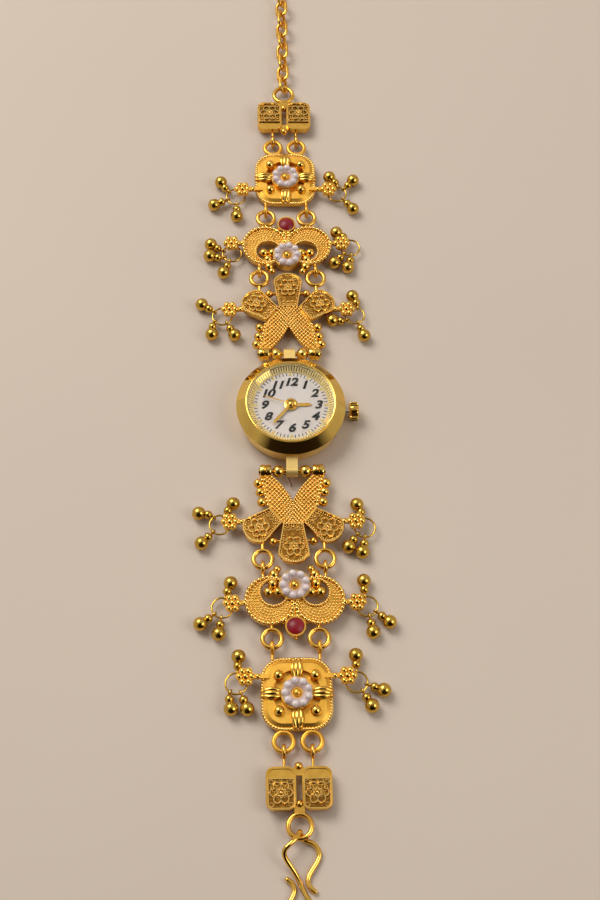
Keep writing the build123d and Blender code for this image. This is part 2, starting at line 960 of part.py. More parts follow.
def knuckle_profile(lateral):
    """Half of a knuckle's section through its axis: two round bands with a groove between."""
    near = lateral * knuckle_offset - knuckle_length / 2
    band = knuckle_length / 2
    bore = bar_radius + running_gap
    low = knuckle_radius - knuckle_groove
    with BuildSketch(Plane((0, bar_distance, bar_height))) as profile:
        with BuildLine():
            Line((near, bore), (near, low))
            ThreePointArc((near, low), (near + band / 2, knuckle_radius), (near + band, low))
            ThreePointArc(
                (near + band, low), (near + 3 * band / 2, knuckle_radius), (near + 2 * band, low)
            )
            Line((near + 2 * band, low), (near + 2 * band, bore))
            Line((near + 2 * band, bore), (near, bore))
        make_face()
    return profile.sketch


def build_fan_link(side):
    """The link next to the case: knuckles, a V of two arms and three petals."""
    bottom = hinge_height["fan"] - plate_thickness / 2 - plate_drop
    ball_height = bottom + plate_thickness / 2
    with BuildPart() as link:
        extrude(fan_arms_face(bottom), amount=plate_thickness)
        for plane, length in petal_planes(bottom):
            add_plate(petal_face(plane, length), plate_thickness)
            middle = Location((0, length * petal_flower_share, plate_thickness))
            add_wire_flower(plane.location * middle)
        for lateral in lateral_sides.values():
            revolve(knuckle_profile(lateral), axis=Axis((0, bar_distance, bar_height), (1, 0, 0)))
        places = [
            (x * fan_root_half_width, bar_distance + y * (fan_base - bar_distance))
            for x, y in fan_ball_shares
        ]
        ball_row(places, ball_height, fan_ball_radius)
        add_rings("fan")
        for lateral in (1, -1):
            add_floret("fan", side, lateral, fan_floret_edge)
    return link.part.moved(strap_place(side))


# Each cluster: where its ring lies, then for each bell its place on the ring and how far it
# leans from it; directions in degrees, 0 straight out and 90 along the strap
bell_directions = {
    ("fan", 1, 1): (-30, ((70, 45), (-145, -40), (-70, 0))),
    ("fan", 1, -1): (-35, ((35, 0), (-40, -45), (-120, 0))),
    ("fan", -1, 1): (30, ((-95, -20), (135, -10), (90, 15))),
    ("fan", -1, -1): (5, ((-115, -10), (-55, 45), (50, -5))),
    ("paisley", 1, 1): (-15, ((105, 40), (-130, -5), (-85, -25))),
    ("paisley", 1, -1): (-90, ((-30, 45), (-75, 10), (20, 15))),
    ("paisley", -1, 1): (15, ((-100, 10), (35, 5), (80, 0))),
    ("paisley", -1, -1): (15, ((-105, -5), (40, -5), (85, -5))),
    ("square", 1, 1): (-15, ((85, 45), (-50, 0), (40, 10))),
    ("square", 1, -1): (-40, ((40, 20), (-25, 0), (-95, 5))),
    ("square", -1, 1): (30, ((-90, 0), (60, 0), (15, 5))),
    ("square", -1, -1): (30, ((55, 45), (115, -5), (-95, 0))),
}

def crescent_face(height, lateral):
    """A round crescent: a disc with an off-centre hole."""
    with BuildSketch(Plane.XY.offset(height)) as face:
        with Locations((lateral * crescent_offset, crescent_distance)):
            Circle(crescent_radius)
        with Locations((lateral * crescent_hole_offset, crescent_hole_distance)):
            Circle(crescent_hole_radius, mode=Mode.SUBTRACT)
    return face.sketch


def build_paisley_link(side):
    """The second link: two crescents, a pearl flower, a ruby cup and rows of balls."""
    bottom = hinge_height["paisley"] - plate_thickness / 2
    top = bottom + plate_thickness
    ball_height = bottom + plate_thickness * 2 / 3
    with BuildPart() as link:
        for lateral in lateral_sides.values():
            add_plate(crescent_face(bottom, lateral), plate_thickness)
        add_pearl_seat(paisley_flower_distance, bottom, plate_thickness + flower_seat_height)
        for shares, radius in (
            (paisley_ball_shares, paisley_ball_radius),
            (small_ball_shares, small_ball_radius),
        ):
            places = [
                (x * crescent_offset, crescent_distance + y * crescent_radius) for x, y in shares
            ]
            boss_row(places, ball_height, radius)
        first_row = paisley_flower_distance + flower_radius + stem_ball_radius / 2
        last_row = ruby_distance - ruby_cup_radius - stem_ball_radius / 2
        rows = [
            first_row + (last_row - first_row) * row / (stem_ball_rows - 1)
            for row in range(stem_ball_rows)
        ]
        boss_row([(stem_ball_offset, y) for y in rows], top, stem_ball_radius)
        cup_floor = ruby_cup_height - ruby_seat_depth
        cup_bore = ruby_radius + seat_gap
        turned_ring(
            [
                (0, 0),
                (ruby_cup_radius, 0),
                (ruby_cup_radius, ruby_cup_height),
                (cup_bore, ruby_cup_height),
                (cup_bore, cup_floor),
                (0, cup_floor),
            ],
            (0, ruby_distance, bottom),
        )
        nub_distance = ruby_distance + ruby_cup_radius + ruby_nub_radius / 2
        with Locations((0, nub_distance, bottom + plate_thickness / 2)):
            Sphere(ruby_nub_radius)
        add_rings("paisley")
        add_eyes("fan", crescent_distance - crescent_radius + rim_width)
        for lateral in (1, -1):
            add_floret("paisley", side, lateral, crescent_offset + crescent_radius - 2 * rim_width)
    return link.part.moved(strap_place(side))


def build_paisley_pearls(side):
    """The ring of pearls on a paisley link."""
    seat = hinge_height["paisley"] + plate_thickness / 2 + flower_seat_height
    with BuildPart() as pearls:
        pearl_ring(paisley_flower_distance, seat)
    return pearls.part.moved(strap_place(side))


def build_ruby(side):
    """A round cabochon: a short cylinder with a low dome."""
    seat = hinge_height["paisley"] - plate_thickness / 2 + ruby_cup_height - ruby_seat_depth
    centre = (0, ruby_distance, seat)
    section = domed_face(ruby_radius, ruby_seat_depth, ruby_height - ruby_seat_depth)
    with BuildPart() as stone:
        revolve(section.moved(Location(centre)), axis=Axis(centre, (0, 0, 1)))
    return stone.part.moved(strap_place(side))


def square_face(height, inset):
    """The rounded square outline of a square link, drawn in by an inset."""
    middle = (square_inner_distance + square_outer_distance) / 2
    length = square_outer_distance - square_inner_distance
    with BuildSketch(Plane.XY.offset(height)) as face:
        with Locations((0, middle)):
            RectangleRounded(
                2 * (square_half_width - inset),
                length - 2 * inset,
                square_corner_radius - inset,
            )
    return face.sketch


def leaf_face():
    """Half of a leaf lobe's outline, to be turned about its own length."""
    shares = [(0, 0), (0.1, 0.6), (0.35, 1), (0.65, 0.95), (0.9, 0.55), (1, 0)]
    points = [(along * square_leaf_length, out * square_leaf_radius) for along, out in shares]
    return outline_face(Plane.XY, points)


def build_square_link(side):
    """The third link: a domed square cushion with leaves, balls and a pearl flower."""
    bottom = hinge_height["square"] - plate_thickness / 2
    top = bottom + plate_thickness
    rise = top + square_dome_height / 2
    middle = (square_inner_distance + square_outer_distance) / 2
    leaf_start = flower_radius - square_leaf_radius / 2
    leaf_spread = square_leaf_radius * square_leaf_share
    with BuildPart() as link:
        extrude(square_face(bottom, 0), amount=plate_thickness)
        loft(
            [
                square_face(top, square_edge_wire),
                square_face(top + square_dome_height, square_edge_wire + square_dome_slope),
            ]
        )
        with Locations((0, middle, top + square_dome_height)):
            Cylinder(
                square_well_radius,
                square_dome_height + square_well_depth,
                align=(Align.CENTER, Align.CENTER, Align.MAX),
                mode=Mode.SUBTRACT,
            )
        add_pearl_seat(middle, top - square_well_depth, flower_seat_height + square_well_depth)
        spots = [
            (x * square_ball_offset, middle + y * square_ball_offset, top)
            for x in (1, -1)
            for y in (1, -1)
        ]
        with Locations(*spots):
            Sphere(square_ball_radius)
        lobe = revolve(leaf_face(), axis=Axis.X, mode=Mode.PRIVATE)
        for quarter in range(4):
            for half in (1, -1):
                turn = Location((0, middle, rise), (0, 0, 90 * quarter))
                add(lobe.moved(turn * Location((leaf_start, half * leaf_spread, 0))))
        add_rings("square")
        add_eyes("paisley", square_inner_distance + square_edge_wire)
        for lateral in (1, -1):
            add_floret("square", side, lateral, square_half_width - 4 * square_edge_wire)
    return link.part.moved(strap_place(side))


def build_square_pearls(side):
    """The ring of pearls on a square link."""
    middle = (square_inner_distance + square_outer_distance) / 2
    seat = hinge_height["square"] + plate_thickness / 2 + flower_seat_height
    with BuildPart() as pearls:
        pearl_ring(middle, seat)
    return pearls.part.moved(strap_place(side))


def build_end_link(side):
    """The last link: two plaques side by side, joined by balls, and one larger ring."""
    bottom = hinge_height["end"] - plaque_thickness / 2
    offset_x = (plaque_gap + plaque_width) / 2
    inner_end = plaque_distance - plaque_length / 2
    outer_end = plaque_distance + plaque_length / 2
    with BuildPart() as link:
        for lateral in (1, -1):
            with BuildSketch(Plane.XY.offset(bottom)) as face:
                with Locations((lateral * offset_x, plaque_distance)):
                    RectangleRounded(plaque_width, plaque_length, plaque_corner_radius)
            add_plate(face.sketch, plaque_thickness)
            top = bottom + plaque_thickness
            add_wire_flower(Location((lateral * offset_x, plaque_distance, top)))
        height = hinge_height["end"]
        for distance in (inner_end - end_ball_radius / 4, outer_end - end_ball_radius * 3 / 2):
            with Locations((0, distance, height)):
                Sphere(end_ball_radius)
        bridge_width = plaque_gap + 2 * rim_width
        for distance in (inner_end + rim_width * 2, outer_end - rim_width * 2):
            with Locations((0, distance, height)):
                Box(bridge_width, rim_width * 4, plaque_thickness * 2 / 3)
        with Locations((0, outer_end + rim_width / 2, height)):
            Box(bridge_width, rim_width * 2, plaque_thickness * 2 / 3)
        add_rings("end")
        add_eyes("square", inner_end + rim_width)
    return link.part.moved(strap_place(side))


def bell_profile():
    """Half of a bell's section along its length: a cap bead that meets a ball at a waist."""
    cap_start = bell_cap_length - bell_cap_radius
    apart = bell_length - bell_cap_length
    waist_reach = (apart**2 + bell_cap_radius**2 - bell_radius**2) / (2 * apart)
    waist_radius = sqrt(bell_cap_radius**2 - waist_reach**2)
    waist = (bell_cap_length + waist_reach, waist_radius)
    with BuildSketch(Plane.XY) as profile:
        with BuildLine():
            ThreePointArc((cap_start, 0), (bell_cap_length, bell_cap_radius), waist)
            ThreePointArc(waist, (bell_length, bell_radius), (bell_length + bell_radius, 0))
            Line((bell_length + bell_radius, 0), (cap_start, 0))
        make_face()
    return profile.sketch


def build_bells(name, side, lateral):
    """A thin ring through the floret's loop, with three bells that hang from it."""
    heading, bell_turns = bell_directions[name, side, lateral]
    offset_x, distance = floret_places[name]
    outward = lateral * side
    floret = strap_place(side) * Location((outward * offset_x, distance, bell_radius))
    across = Location((0, 0, 0), (0, 0, drawn_turn(outward, heading)))
    centre = floret * across * Location((bell_ring_radius, 0, 0)) * across.inverse()
    bell = revolve(bell_profile(), axis=Axis.X, mode=Mode.PRIVATE)
    with BuildPart() as bells:
        with Locations(centre):
            Torus(bell_ring_radius, bell_ring_wire)
        for ring_direction, lean in bell_turns:
            turn = Location((0, 0, 0), (0, 0, drawn_turn(outward, ring_direction)))
            spot = centre * turn * Location((bell_ring_radius, 0, 0))
            with Locations(spot * Location((0, 0, 0), (90, 0, 0))):
                Torus(bell_loop_radius, bell_loop_wire)
            swivel = Location((bell_loop_radius, 0, 0), (0, 0, outward * lean))
            add(bell.moved(spot * swivel * Location((-bell_loop_radius, 0, 0))))
    return bells.part


# The hook and the chain


def hook_path():
    """The hook's centre line: an S with one open loop and one that holds the end ring."""
    rise = hinge_height["end"]
    low = hook_wire + 2 * seat_gap
    high = 2 * rise - low
    bend = ring_wire + hook_wire + hook_pass_gap
    centre = hinge_distance["end"] - bend + hook_half_length
    slack_height = (low + rise) / 2
    outline_shares = [
        (-0.72, -0.12, low),
        (-0.38, 0.12, low),
        (-1, 0.62, low),
        (-0.55, 0.82, low),
        (0.86, 0.62, high),
        (0.4, 0.28, slack_height),
        (0, 0, low),
    ]
    points = [(x * hook_half_width, y * hook_half_length, z) for x, y, z in outline_shares]
    through = [
        (-hook_pass_width, hook_half_length - bend, low),
        (0, hook_half_length, rise),
        (hook_pass_width, hook_half_length - bend, high),
    ]
    near = points[:4] + through + points[4:]
    far_bend = [(0, hook_half_length, low)]
    far = [(-x, -y, low) for x, y, z in reversed(points[:4] + far_bend + points[4:-1])]
    return [(x, centre - y, z) for x, y, z in near + far]


def build_hook():
    """The S hook, bent from one round wire."""
    points = hook_path()
    with BuildPart() as hook:
        with BuildLine() as path:
            Spline(*points)
        with BuildSketch(Plane(origin=path.line @ 0, z_dir=path.line % 0)) as section:
            Circle(hook_wire)
        sweep(section.sketch, path=path.line)
        with Locations(points[0], points[-1]):
            Sphere(hook_wire)
    return hook.part.moved(strap_place(-1))


def chain_start(number):
    """The distance of a chain link's inner end apex from the case centre."""
    first = hinge_distance["end"] - ring_wire - chain_wire - chain_gap
    pitch = chain_link_span - 2 * chain_wire - chain_gap
    return first + number * pitch


def build_chain_link(number):
    """One oval chain link, tilted about the strap's length and square to its neighbours."""
    tilt = chain_tilt if number % 2 == 0 else chain_tilt - 90
    middle = chain_start(number) + chain_link_span / 2
    straight = chain_link_span / 2 - chain_bend_radius
    plane = Plane(origin=(0, middle, hinge_height["end"])).rotated((0, tilt, 0))
    with BuildPart() as chain_link:
        with BuildLine(plane) as path:
            Line((chain_bend_radius, -straight), (chain_bend_radius, straight))
            ThreePointArc(
                (chain_bend_radius, straight),
                (0, straight + chain_bend_radius),
                (-chain_bend_radius, straight),
            )
            Line((-chain_bend_radius, straight), (-chain_bend_radius, -straight))
            ThreePointArc(
                (-chain_bend_radius, -straight),
                (0, -straight - chain_bend_radius),
                (chain_bend_radius, -straight),
            )
        with BuildSketch(Plane(origin=path.line @ 0, z_dir=path.line % 0)) as section:
            Circle(chain_wire)
        sweep(section.sketch, path=path.line)
    return chain_link.part


for side_name, side in strap_sides.items():
    finish(build_fan_link(side), f"fan_link_{side_name}")
    finish(build_paisley_link(side), f"paisley_link_{side_name}")
    finish(build_paisley_pearls(side), f"paisley_pearls_{side_name}")
    finish(build_ruby(side), f"ruby_{side_name}")
    finish(build_square_link(side), f"square_link_{side_name}")
    finish(build_square_pearls(side), f"square_pearls_{side_name}")
    finish(build_end_link(side), f"end_link_{side_name}")
    for link_name in ("fan", "paisley", "square"):
        for lateral_name, lateral in lateral_sides.items():
            name = f"bells_{link_name}_{side_name}_{lateral_name}"
            finish(build_bells(link_name, side, lateral), name)

finish(build_hook(), "s_hook")

for number in range(chain_links):
    finish(build_chain_link(number), f"chain_link_{number + 1}")
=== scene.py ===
# %% [markdown]
# # A gold bracelet watch, dressed over its solid model
#
# The solid model already has the case, the hinged links, the bells, the hook and the chain in
# their places. This lesson lights it, gives every part its finish, and adds the goldsmith's
# detail that a solid model leaves out: granules, wire, filigree, balls and the print on the
# dial. What both straps carry is drawn for the strap at twelve o'clock and turned round for
# the one at six.

import math

import bpy
from mathutils import Matrix, Vector


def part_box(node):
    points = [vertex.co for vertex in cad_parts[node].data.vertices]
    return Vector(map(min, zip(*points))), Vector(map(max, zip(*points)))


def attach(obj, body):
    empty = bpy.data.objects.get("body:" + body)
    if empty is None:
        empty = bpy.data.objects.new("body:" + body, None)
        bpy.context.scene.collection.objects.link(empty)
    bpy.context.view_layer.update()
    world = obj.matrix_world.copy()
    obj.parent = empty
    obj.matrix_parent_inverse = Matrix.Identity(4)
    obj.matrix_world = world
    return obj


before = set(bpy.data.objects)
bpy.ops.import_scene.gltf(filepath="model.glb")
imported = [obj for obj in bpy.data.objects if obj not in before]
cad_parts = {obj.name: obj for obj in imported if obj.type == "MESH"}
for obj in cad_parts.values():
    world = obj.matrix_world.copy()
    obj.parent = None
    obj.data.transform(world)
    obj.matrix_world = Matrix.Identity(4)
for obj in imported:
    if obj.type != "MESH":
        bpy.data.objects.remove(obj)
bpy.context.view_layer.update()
print("solid parts:", len(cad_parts))

# %% [markdown]
# ## Camera
#
# The view looks down at the watch from the six o'clock end, a little from the left and
# slightly tilted. A camera can be dragged into place by hand. This one is built from its
# elevation, azimuth, roll and distance, so that each of them can be changed by itself.

# %% Set the camera
MM = 0.001
elevation, azimuth, roll = (math.radians(a) for a in (63.279544, -4.842038, 3.928848))
distance = 306.529 * MM
aim = Vector((1.956542, -8.3098, 0)) * MM
focal_length = 55.68
nearest_seen = 10 * MM

back = Vector(
    (
        math.sin(azimuth) * math.cos(elevation),
        -math.cos(azimuth) * math.cos(elevation),
        math.sin(elevation),
    )
)
level_right = (-back).cross(Vector((0, 0, 1))).normalized()
level_up = level_right.cross(-back)
right = level_right * math.cos(roll) + level_up * math.sin(roll)
up = level_up * math.cos(roll) - level_right * math.sin(roll)

bpy.ops.object.camera_add()
camera = bpy.context.object
turned = Matrix((right, up, back)).transposed().to_4x4()
camera.matrix_world = Matrix.Translation(aim + back * distance) @ turned
camera.data.lens = focal_length
camera.data.clip_start = nearest_seen
bpy.context.scene.camera = camera
print("camera at", tuple(round(v, 4) for v in camera.matrix_world.translation))

# %% [markdown]
# ## Helpers
#
# An operator works on whatever is selected, so each step starts with nothing selected. To
# edit a mesh as by hand, the piece is picked up, opened, changed while all of it is selected,
# and closed again.

# %% Pick up a piece, and open and close its mesh
def clear_selection():
    """Leaves edit mode and selects nothing."""
    if bpy.context.mode != "OBJECT":
        bpy.ops.object.mode_set(mode="OBJECT")
    bpy.ops.object.select_all(action="DESELECT")


def hold(piece):
    """Makes a piece the only selected and active one."""
    clear_selection()
    piece.select_set(True)
    bpy.context.view_layer.objects.active = piece


def settle(piece):
    """Moves the place of an object into its mesh."""
    hold(piece)
    bpy.ops.object.transform_apply(location=True, rotation=True, scale=True)


def open_mesh(piece):
    """Starts editing a piece, with all of its mesh selected."""
    hold(piece)
    bpy.ops.object.mode_set(mode="EDIT")
    bpy.ops.mesh.select_all(action="SELECT")


def close_mesh():
    """Ends the editing."""
    bpy.ops.object.mode_set(mode="OBJECT")


def turn_outwards():
    """Makes every face of the open mesh point out of the piece."""
    bpy.ops.mesh.select_all(action="SELECT")
    bpy.ops.mesh.normals_make_consistent(inside=False)


# %% [markdown]
# What repeats is modelled once, as a master, and copied. Linked copies would be lighter, but
# here each copy gets a mesh of its own, because many copies are then joined into one piece.

# %% Copy, place and join
def copy_to(piece, matrix):
    """A copy with a mesh of its own, moved by a matrix."""
    twin = piece.copy()
    twin.data = piece.data.copy()
    bpy.context.collection.objects.link(twin)
    twin.data.transform(matrix)
    return twin


def place(x, y, z, turn=0.0, size=1.0):
    """The matrix that carries a small master piece to a place in millimetres."""
    moved = Matrix.Translation(Vector((x, y, z)) * MM)
    return moved @ Matrix.Rotation(turn, 4, "Z") @ Matrix.Diagonal((size, size, size, 1))


def pair(x, y, z, size):
    """A place and the one opposite it, across the middle line of the strap."""
    return [place(way * x, y, z, 0, size) for way in (1, -1)]


def joined(pieces):
    """Many pieces as one."""
    clear_selection()
    for piece in pieces:
        piece.select_set(True)
    bpy.context.view_layer.objects.active = pieces[0]
    bpy.ops.object.join()
    return bpy.context.object


def strew(master, places):
    """One piece made of a copy of the master at each place."""
    return joined([copy_to(master, matrix) for matrix in places])


def discard(*masters):
    """Throws masters away once their copies are made."""
    for master in masters:
        bpy.data.objects.remove(master)


# %% [markdown]
# A finished piece keeps its object at the origin with its place in its mesh, as the solid
# parts do, and rides on the body that carries it. The two straps are the same but for half a
# turn about the middle of the watch, so their pieces are made once and handed over twice.

# %% Hand a finished piece over
STRAPS = {"twelve": 0.0, "six": math.pi}


def put_on(piece, name, body, look, smooth=50):
    """Names, finishes and hands over a piece to the body that carries it."""
    piece.name = name
    piece.data.name = name
    settle(piece)
    bpy.ops.object.shade_smooth_by_angle(angle=math.radians(smooth))
    piece.data.materials.clear()
    piece.data.materials.append(look)
    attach(piece, body)
    print(f"{name} on {body}: {len(piece.data.polygons)} faces")


def put_on_both(piece, name, body, look, smooth=50):
    """A piece drawn for the twelve o'clock strap goes on both straps."""
    for side, turn in STRAPS.items():
        twin = copy_to(piece, Matrix.Rotation(turn, 4, "Z"))
        put_on(twin, f"{name}_{side}", f"{body}_{side}", look, smooth)
    discard(piece)


# %% [markdown]
# ## Finishes
#
# All the gold is plate over base metal, but no two parts show it alike: the case is polished,
# its band brushed, the links blasted and warmer, the bells darker. The band is also paler and
# less metallic than the case, which is painted light for the light it catches from below. One
# recipe serves them all: a surface whose colour drifts a little, whose roughness is never even,
# and which is pitted by a fine bump. Object coordinates are metres here, so a scale of 1000 is
# a grain of about a millimetre.

# %% A recipe for every finish
bump_depth = 0.02 * MM


def noise(nodes, links, coordinates, scale):
    """A cloudy pattern, the finer the larger its scale."""
    texture = nodes.new("ShaderNodeTexNoise")
    texture.inputs["Scale"].default_value = scale
    texture.inputs["Detail"].default_value = 2.0
    links.new(coordinates.outputs["Object"], texture.inputs["Vector"])
    return texture.outputs["Fac"]


def tones(nodes, links, value, stops):
    """Colours read off a value, with each stop a position and the colour there."""
    ramp = nodes.new("ShaderNodeValToRGB")
    first, last = ramp.color_ramp.elements
    first.position, first.color = stops[0][0], (*stops[0][1], 1)
    last.position, last.color = stops[-1][0], (*stops[-1][1], 1)
    for position, colour in stops[1:-1]:
        ramp.color_ramp.elements.new(position).color = (*colour, 1)
    links.new(value, ramp.inputs["Fac"])
    return ramp.outputs["Color"]


def skin(name, low, high, rough, metal=1.0, drift=400, grain=4000, pitted=0.1, **more):
    """A surface whose colour, roughness and relief all vary a little from place to place."""
    material = bpy.data.materials.new(name)
    material.use_nodes = True
    nodes, links = material.node_tree.nodes, material.node_tree.links
    shader = nodes["Principled BSDF"]
    coordinates = nodes.new("ShaderNodeTexCoord")
    broad = noise(nodes, links, coordinates, drift)
    fine = noise(nodes, links, coordinates, grain)
    colour = tones(nodes, links, broad, [(0.35, low), (0.65, high)])
    links.new(colour, shader.inputs["Base Color"])
    sheen = nodes.new("ShaderNodeMapRange")
    sheen.inputs["To Min"].default_value = rough[0]
    sheen.inputs["To Max"].default_value = rough[1]
    links.new(broad, sheen.inputs["Value"])
    links.new(sheen.outputs["Result"], shader.inputs["Roughness"])
    bump = nodes.new("ShaderNodeBump")
    bump.inputs["Strength"].default_value = pitted
    bump.inputs["Distance"].default_value = bump_depth
    links.new(fine, bump.inputs["Height"])
    links.new(bump.outputs["Normal"], shader.inputs["Normal"])
    shader.inputs["Metallic"].default_value = metal
    for socket, value in more.items():
        shader.inputs[socket.replace("_", " ")].default_value = value
    return material


# %% [markdown]
# Each gold is one call of the recipe: two colours to drift between, two roughnesses, and how
# deeply it is pitted. A photograph of gold shows mostly what the gold mirrors, so the colours
# are set for the metal itself and stay close together. The band and the fluted ring inside the
# bezel differ: their paler, less metallic golds are partly painted light.

# %% Mix the golds
mirror_gold = skin(
    "mirror_gold", (0.80, 0.53, 0.12), (0.86, 0.58, 0.14), (0.05, 0.09), pitted=0.02
)
# Paler and less metallic than the case: painted light on the band.
band_gold_painted_light = skin(
    "band_gold_painted_light", (0.95, 0.66, 0.22), (0.99, 0.71, 0.25), (0.34, 0.42), metal=0.7, pitted=0.15
)
link_gold = skin(
    "link_gold", (0.80, 0.44, 0.07), (0.90, 0.52, 0.10), (0.18, 0.30), pitted=0.30
)
matte_gold = skin(
    "matte_gold", (0.82, 0.44, 0.06), (0.88, 0.49, 0.08), (0.36, 0.46), pitted=0.50
)
wire_gold = skin(
    "wire_gold", (0.90, 0.58, 0.16), (0.95, 0.64, 0.20), (0.16, 0.24), pitted=0.10
)
ball_gold = skin(
    "ball_gold", (0.84, 0.50, 0.09), (0.92, 0.57, 0.12), (0.10, 0.17), pitted=0.08
)
bell_gold = skin(
    "bell_gold", (0.60, 0.37, 0.06), (0.70, 0.44, 0.08), (0.12, 0.20), pitted=0.10
)
# Pale and mostly not metal: painted light that lifts the ring out of the shade under the
# crystal.
rehaut_gold_painted_light = skin(
    "rehaut_gold_painted_light", (0.92, 0.74, 0.36), (0.96, 0.78, 0.40), (0.40, 0.48), metal=0.25, pitted=0.05
)
track_gold = skin(
    "track_gold", (0.66, 0.50, 0.16), (0.74, 0.57, 0.20), (0.35, 0.45), metal=0.0
)
print("golds:", len([name for name in bpy.data.materials.keys() if name.endswith("gold")]))

# %% [markdown]
# Pearls and stones aren't metal. A pearl has a clear gloss over a milky body, which is a coat
# over a little light that travels under the surface. The ruby is a smooth uncut stone, dark,
# with a soft shine. The movement inside is brass, steel, copper and plastic.

# %% Mix the other finishes
pearl_skin = skin(
    "pearl_skin", (0.66, 0.56, 0.57), (0.78, 0.69, 0.69), (0.18, 0.30),
    metal=0.0, drift=900, grain=3000, pitted=0.05,
    Coat_Weight=0.7, Coat_Roughness=0.08, Subsurface_Weight=0.15, Subsurface_Scale=0.4 * MM,
)
# The darker pink of the pearl beds is painted shade in the gaps between the pearls.
pearl_gap_painted_shade = skin(
    "pearl_gap_painted_shade", (0.50, 0.36, 0.32), (0.60, 0.45, 0.40), (0.30, 0.40),
    metal=0.0, drift=900, grain=3000, pitted=0.05,
)
ruby_skin = skin(
    "ruby_skin", (0.20, 0.003, 0.010), (0.28, 0.006, 0.016), (0.34, 0.42),
    metal=0.0, drift=500, grain=2500, pitted=0.05,
    Coat_Weight=0.12, Coat_Roughness=0.30, Specular_IOR_Level=0.35,
)
dial_skin = skin(
    "dial_skin", (0.66, 0.60, 0.57), (0.69, 0.63, 0.60), (0.35, 0.45),
    metal=0.0, drift=300, grain=6000, pitted=0.05,
)
ink = skin("ink", (0.012, 0.011, 0.010), (0.02, 0.018, 0.016), (0.35, 0.45), metal=0.0)
dark_wire = skin("dark_wire", (0.10, 0.055, 0.02), (0.16, 0.09, 0.03), (0.30, 0.45))
steel = skin("steel", (0.50, 0.49, 0.47), (0.60, 0.59, 0.57), (0.25, 0.40))
brass = skin("brass", (0.62, 0.45, 0.18), (0.72, 0.54, 0.24), (0.25, 0.40))
copper = skin("copper", (0.60, 0.24, 0.10), (0.72, 0.32, 0.15), (0.25, 0.35))
plastic = skin("plastic", (0.05, 0.09, 0.06), (0.08, 0.13, 0.09), (0.45, 0.60), metal=0.0)
print("finishes so far:", len(bpy.data.materials))

# %% [markdown]
# Under the open wirework the ground is full of tiny curls and pits, and the pits lie in shade.
# To model each would take far too many faces, so a cell texture gives each curl a bright top
# and a dark rim, in colour and in relief at once. In the colour the bright top is a painted
# highlight and the dark rim is painted shade.

# %% A pitted ground
curl_scale = 1300
curl_depth = 0.10 * MM
curl_strength = 0.15

filigree_gold_painted_shade = skin("filigree_gold_painted_shade", (0.5, 0.25, 0.03), (0.6, 0.3, 0.04), (0.28, 0.40))
ground_nodes, ground_links = filigree_gold_painted_shade.node_tree.nodes, filigree_gold_painted_shade.node_tree.links
curls = ground_nodes.new("ShaderNodeTexVoronoi")
curls.inputs["Scale"].default_value = curl_scale
ground_links.new(
    ground_nodes["Texture Coordinate"].outputs["Object"], curls.inputs["Vector"]
)
# Colour by distance from each curl's middle: painted highlight on top, painted shade at the rim.
curl_painted_highlight_and_shade = tones(
    ground_nodes, ground_links, curls.outputs["Distance"],
    [(0.22, (0.40, 0.20, 0.03)), (0.62, (0.24, 0.105, 0.015))],
)
ground_links.new(curl_painted_highlight_and_shade, ground_nodes["Principled BSDF"].inputs["Base Color"])
curl_bump = ground_nodes["Bump"]
curl_bump.invert = True
curl_bump.inputs["Strength"].default_value = curl_strength
curl_bump.inputs["Distance"].default_value = curl_depth
ground_links.new(curls.outputs["Distance"], curl_bump.inputs["Height"])
print("the pitted ground has", len(ground_nodes), "nodes")

# %% [markdown]
# The crystal is a plate of clear mineral glass. Real glass bends light by an index of about
# 1.5, which in a render also hides the dial behind reflections. A much lower index keeps the
# dial readable and still shows a faint edge.

# %% A clear crystal
crystal_index = 1.04

glass = bpy.data.materials.new("crystal_glass")
glass.use_nodes = True
glass_shader = glass.node_tree.nodes["Principled BSDF"]
glass_shader.inputs["Base Color"].default_value = (1, 1, 1, 1)
glass_shader.inputs["Roughness"].default_value = 0.0
glass_shader.inputs["IOR"].default_value = crystal_index
glass_shader.inputs["Transmission Weight"].default_value = 1.0
print("finishes:", len(bpy.data.materials))

# %% [markdown]
# ## Finishing the solid parts
#
# The solid parts stay as they are and only take their finish. The name of a part says which
# one it gets: the first word of the list that is in the name counts, and whatever matches no
# word is steel.

# %% Give every solid part its finish
solid_skins = {
    "bezel": mirror_gold,
    "crystal": glass,
    "dial": dial_skin,
    "second_hand": wire_gold,
    "_hand": ball_gold,
    "case_": band_gold_painted_light,
    "crown": mirror_gold,
    "lug_bars": mirror_gold,
    "bar_beads": mirror_gold,
    "pearls": pearl_skin,
    "ruby": ruby_skin,
    "fan_link": link_gold,
    "paisley_link": link_gold,
    "square_link": matte_gold,
    "end_link": link_gold,
    "bells_": bell_gold,
    "s_hook": ball_gold,
    "chain_link": link_gold,
    "cannon_pinion": brass,
    "wheel": brass,
    "main_plate": brass,
    "coil": copper,
    "board": plastic,
    "holder": plastic,
}
for part_name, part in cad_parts.items():
    chosen = next((look for key, look in solid_skins.items() if key in part_name), steel)
    part.data.materials.clear()
    part.data.materials.append(chosen)
print("finished solid parts:", len(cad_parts))

# %% [markdown]
# ## Small masters
#
# The goldsmith's work is made of a few things used over and over: a granule, a ball and round
# wire. A granule is seen from above only and there are many, so it is a low dome of a few
# faces, cut from a small icosphere. A ball is rounder and has a flat foot where it is
# soldered. A cut takes in every vertex that is nearer to it than its threshold. That is a
# tenth of a millimetre unless told otherwise, which is too much for the close rings of the
# ball: they would all count as cut, and get their faces twice. So the ball is cut exactly at
# its lowest ring, with a threshold far smaller than the way to the next one.

# %% A granule and a ball, both one millimetre in radius
ball_segments, ball_rings = 20, 12
lowest_ring = -math.cos(math.pi / ball_rings)


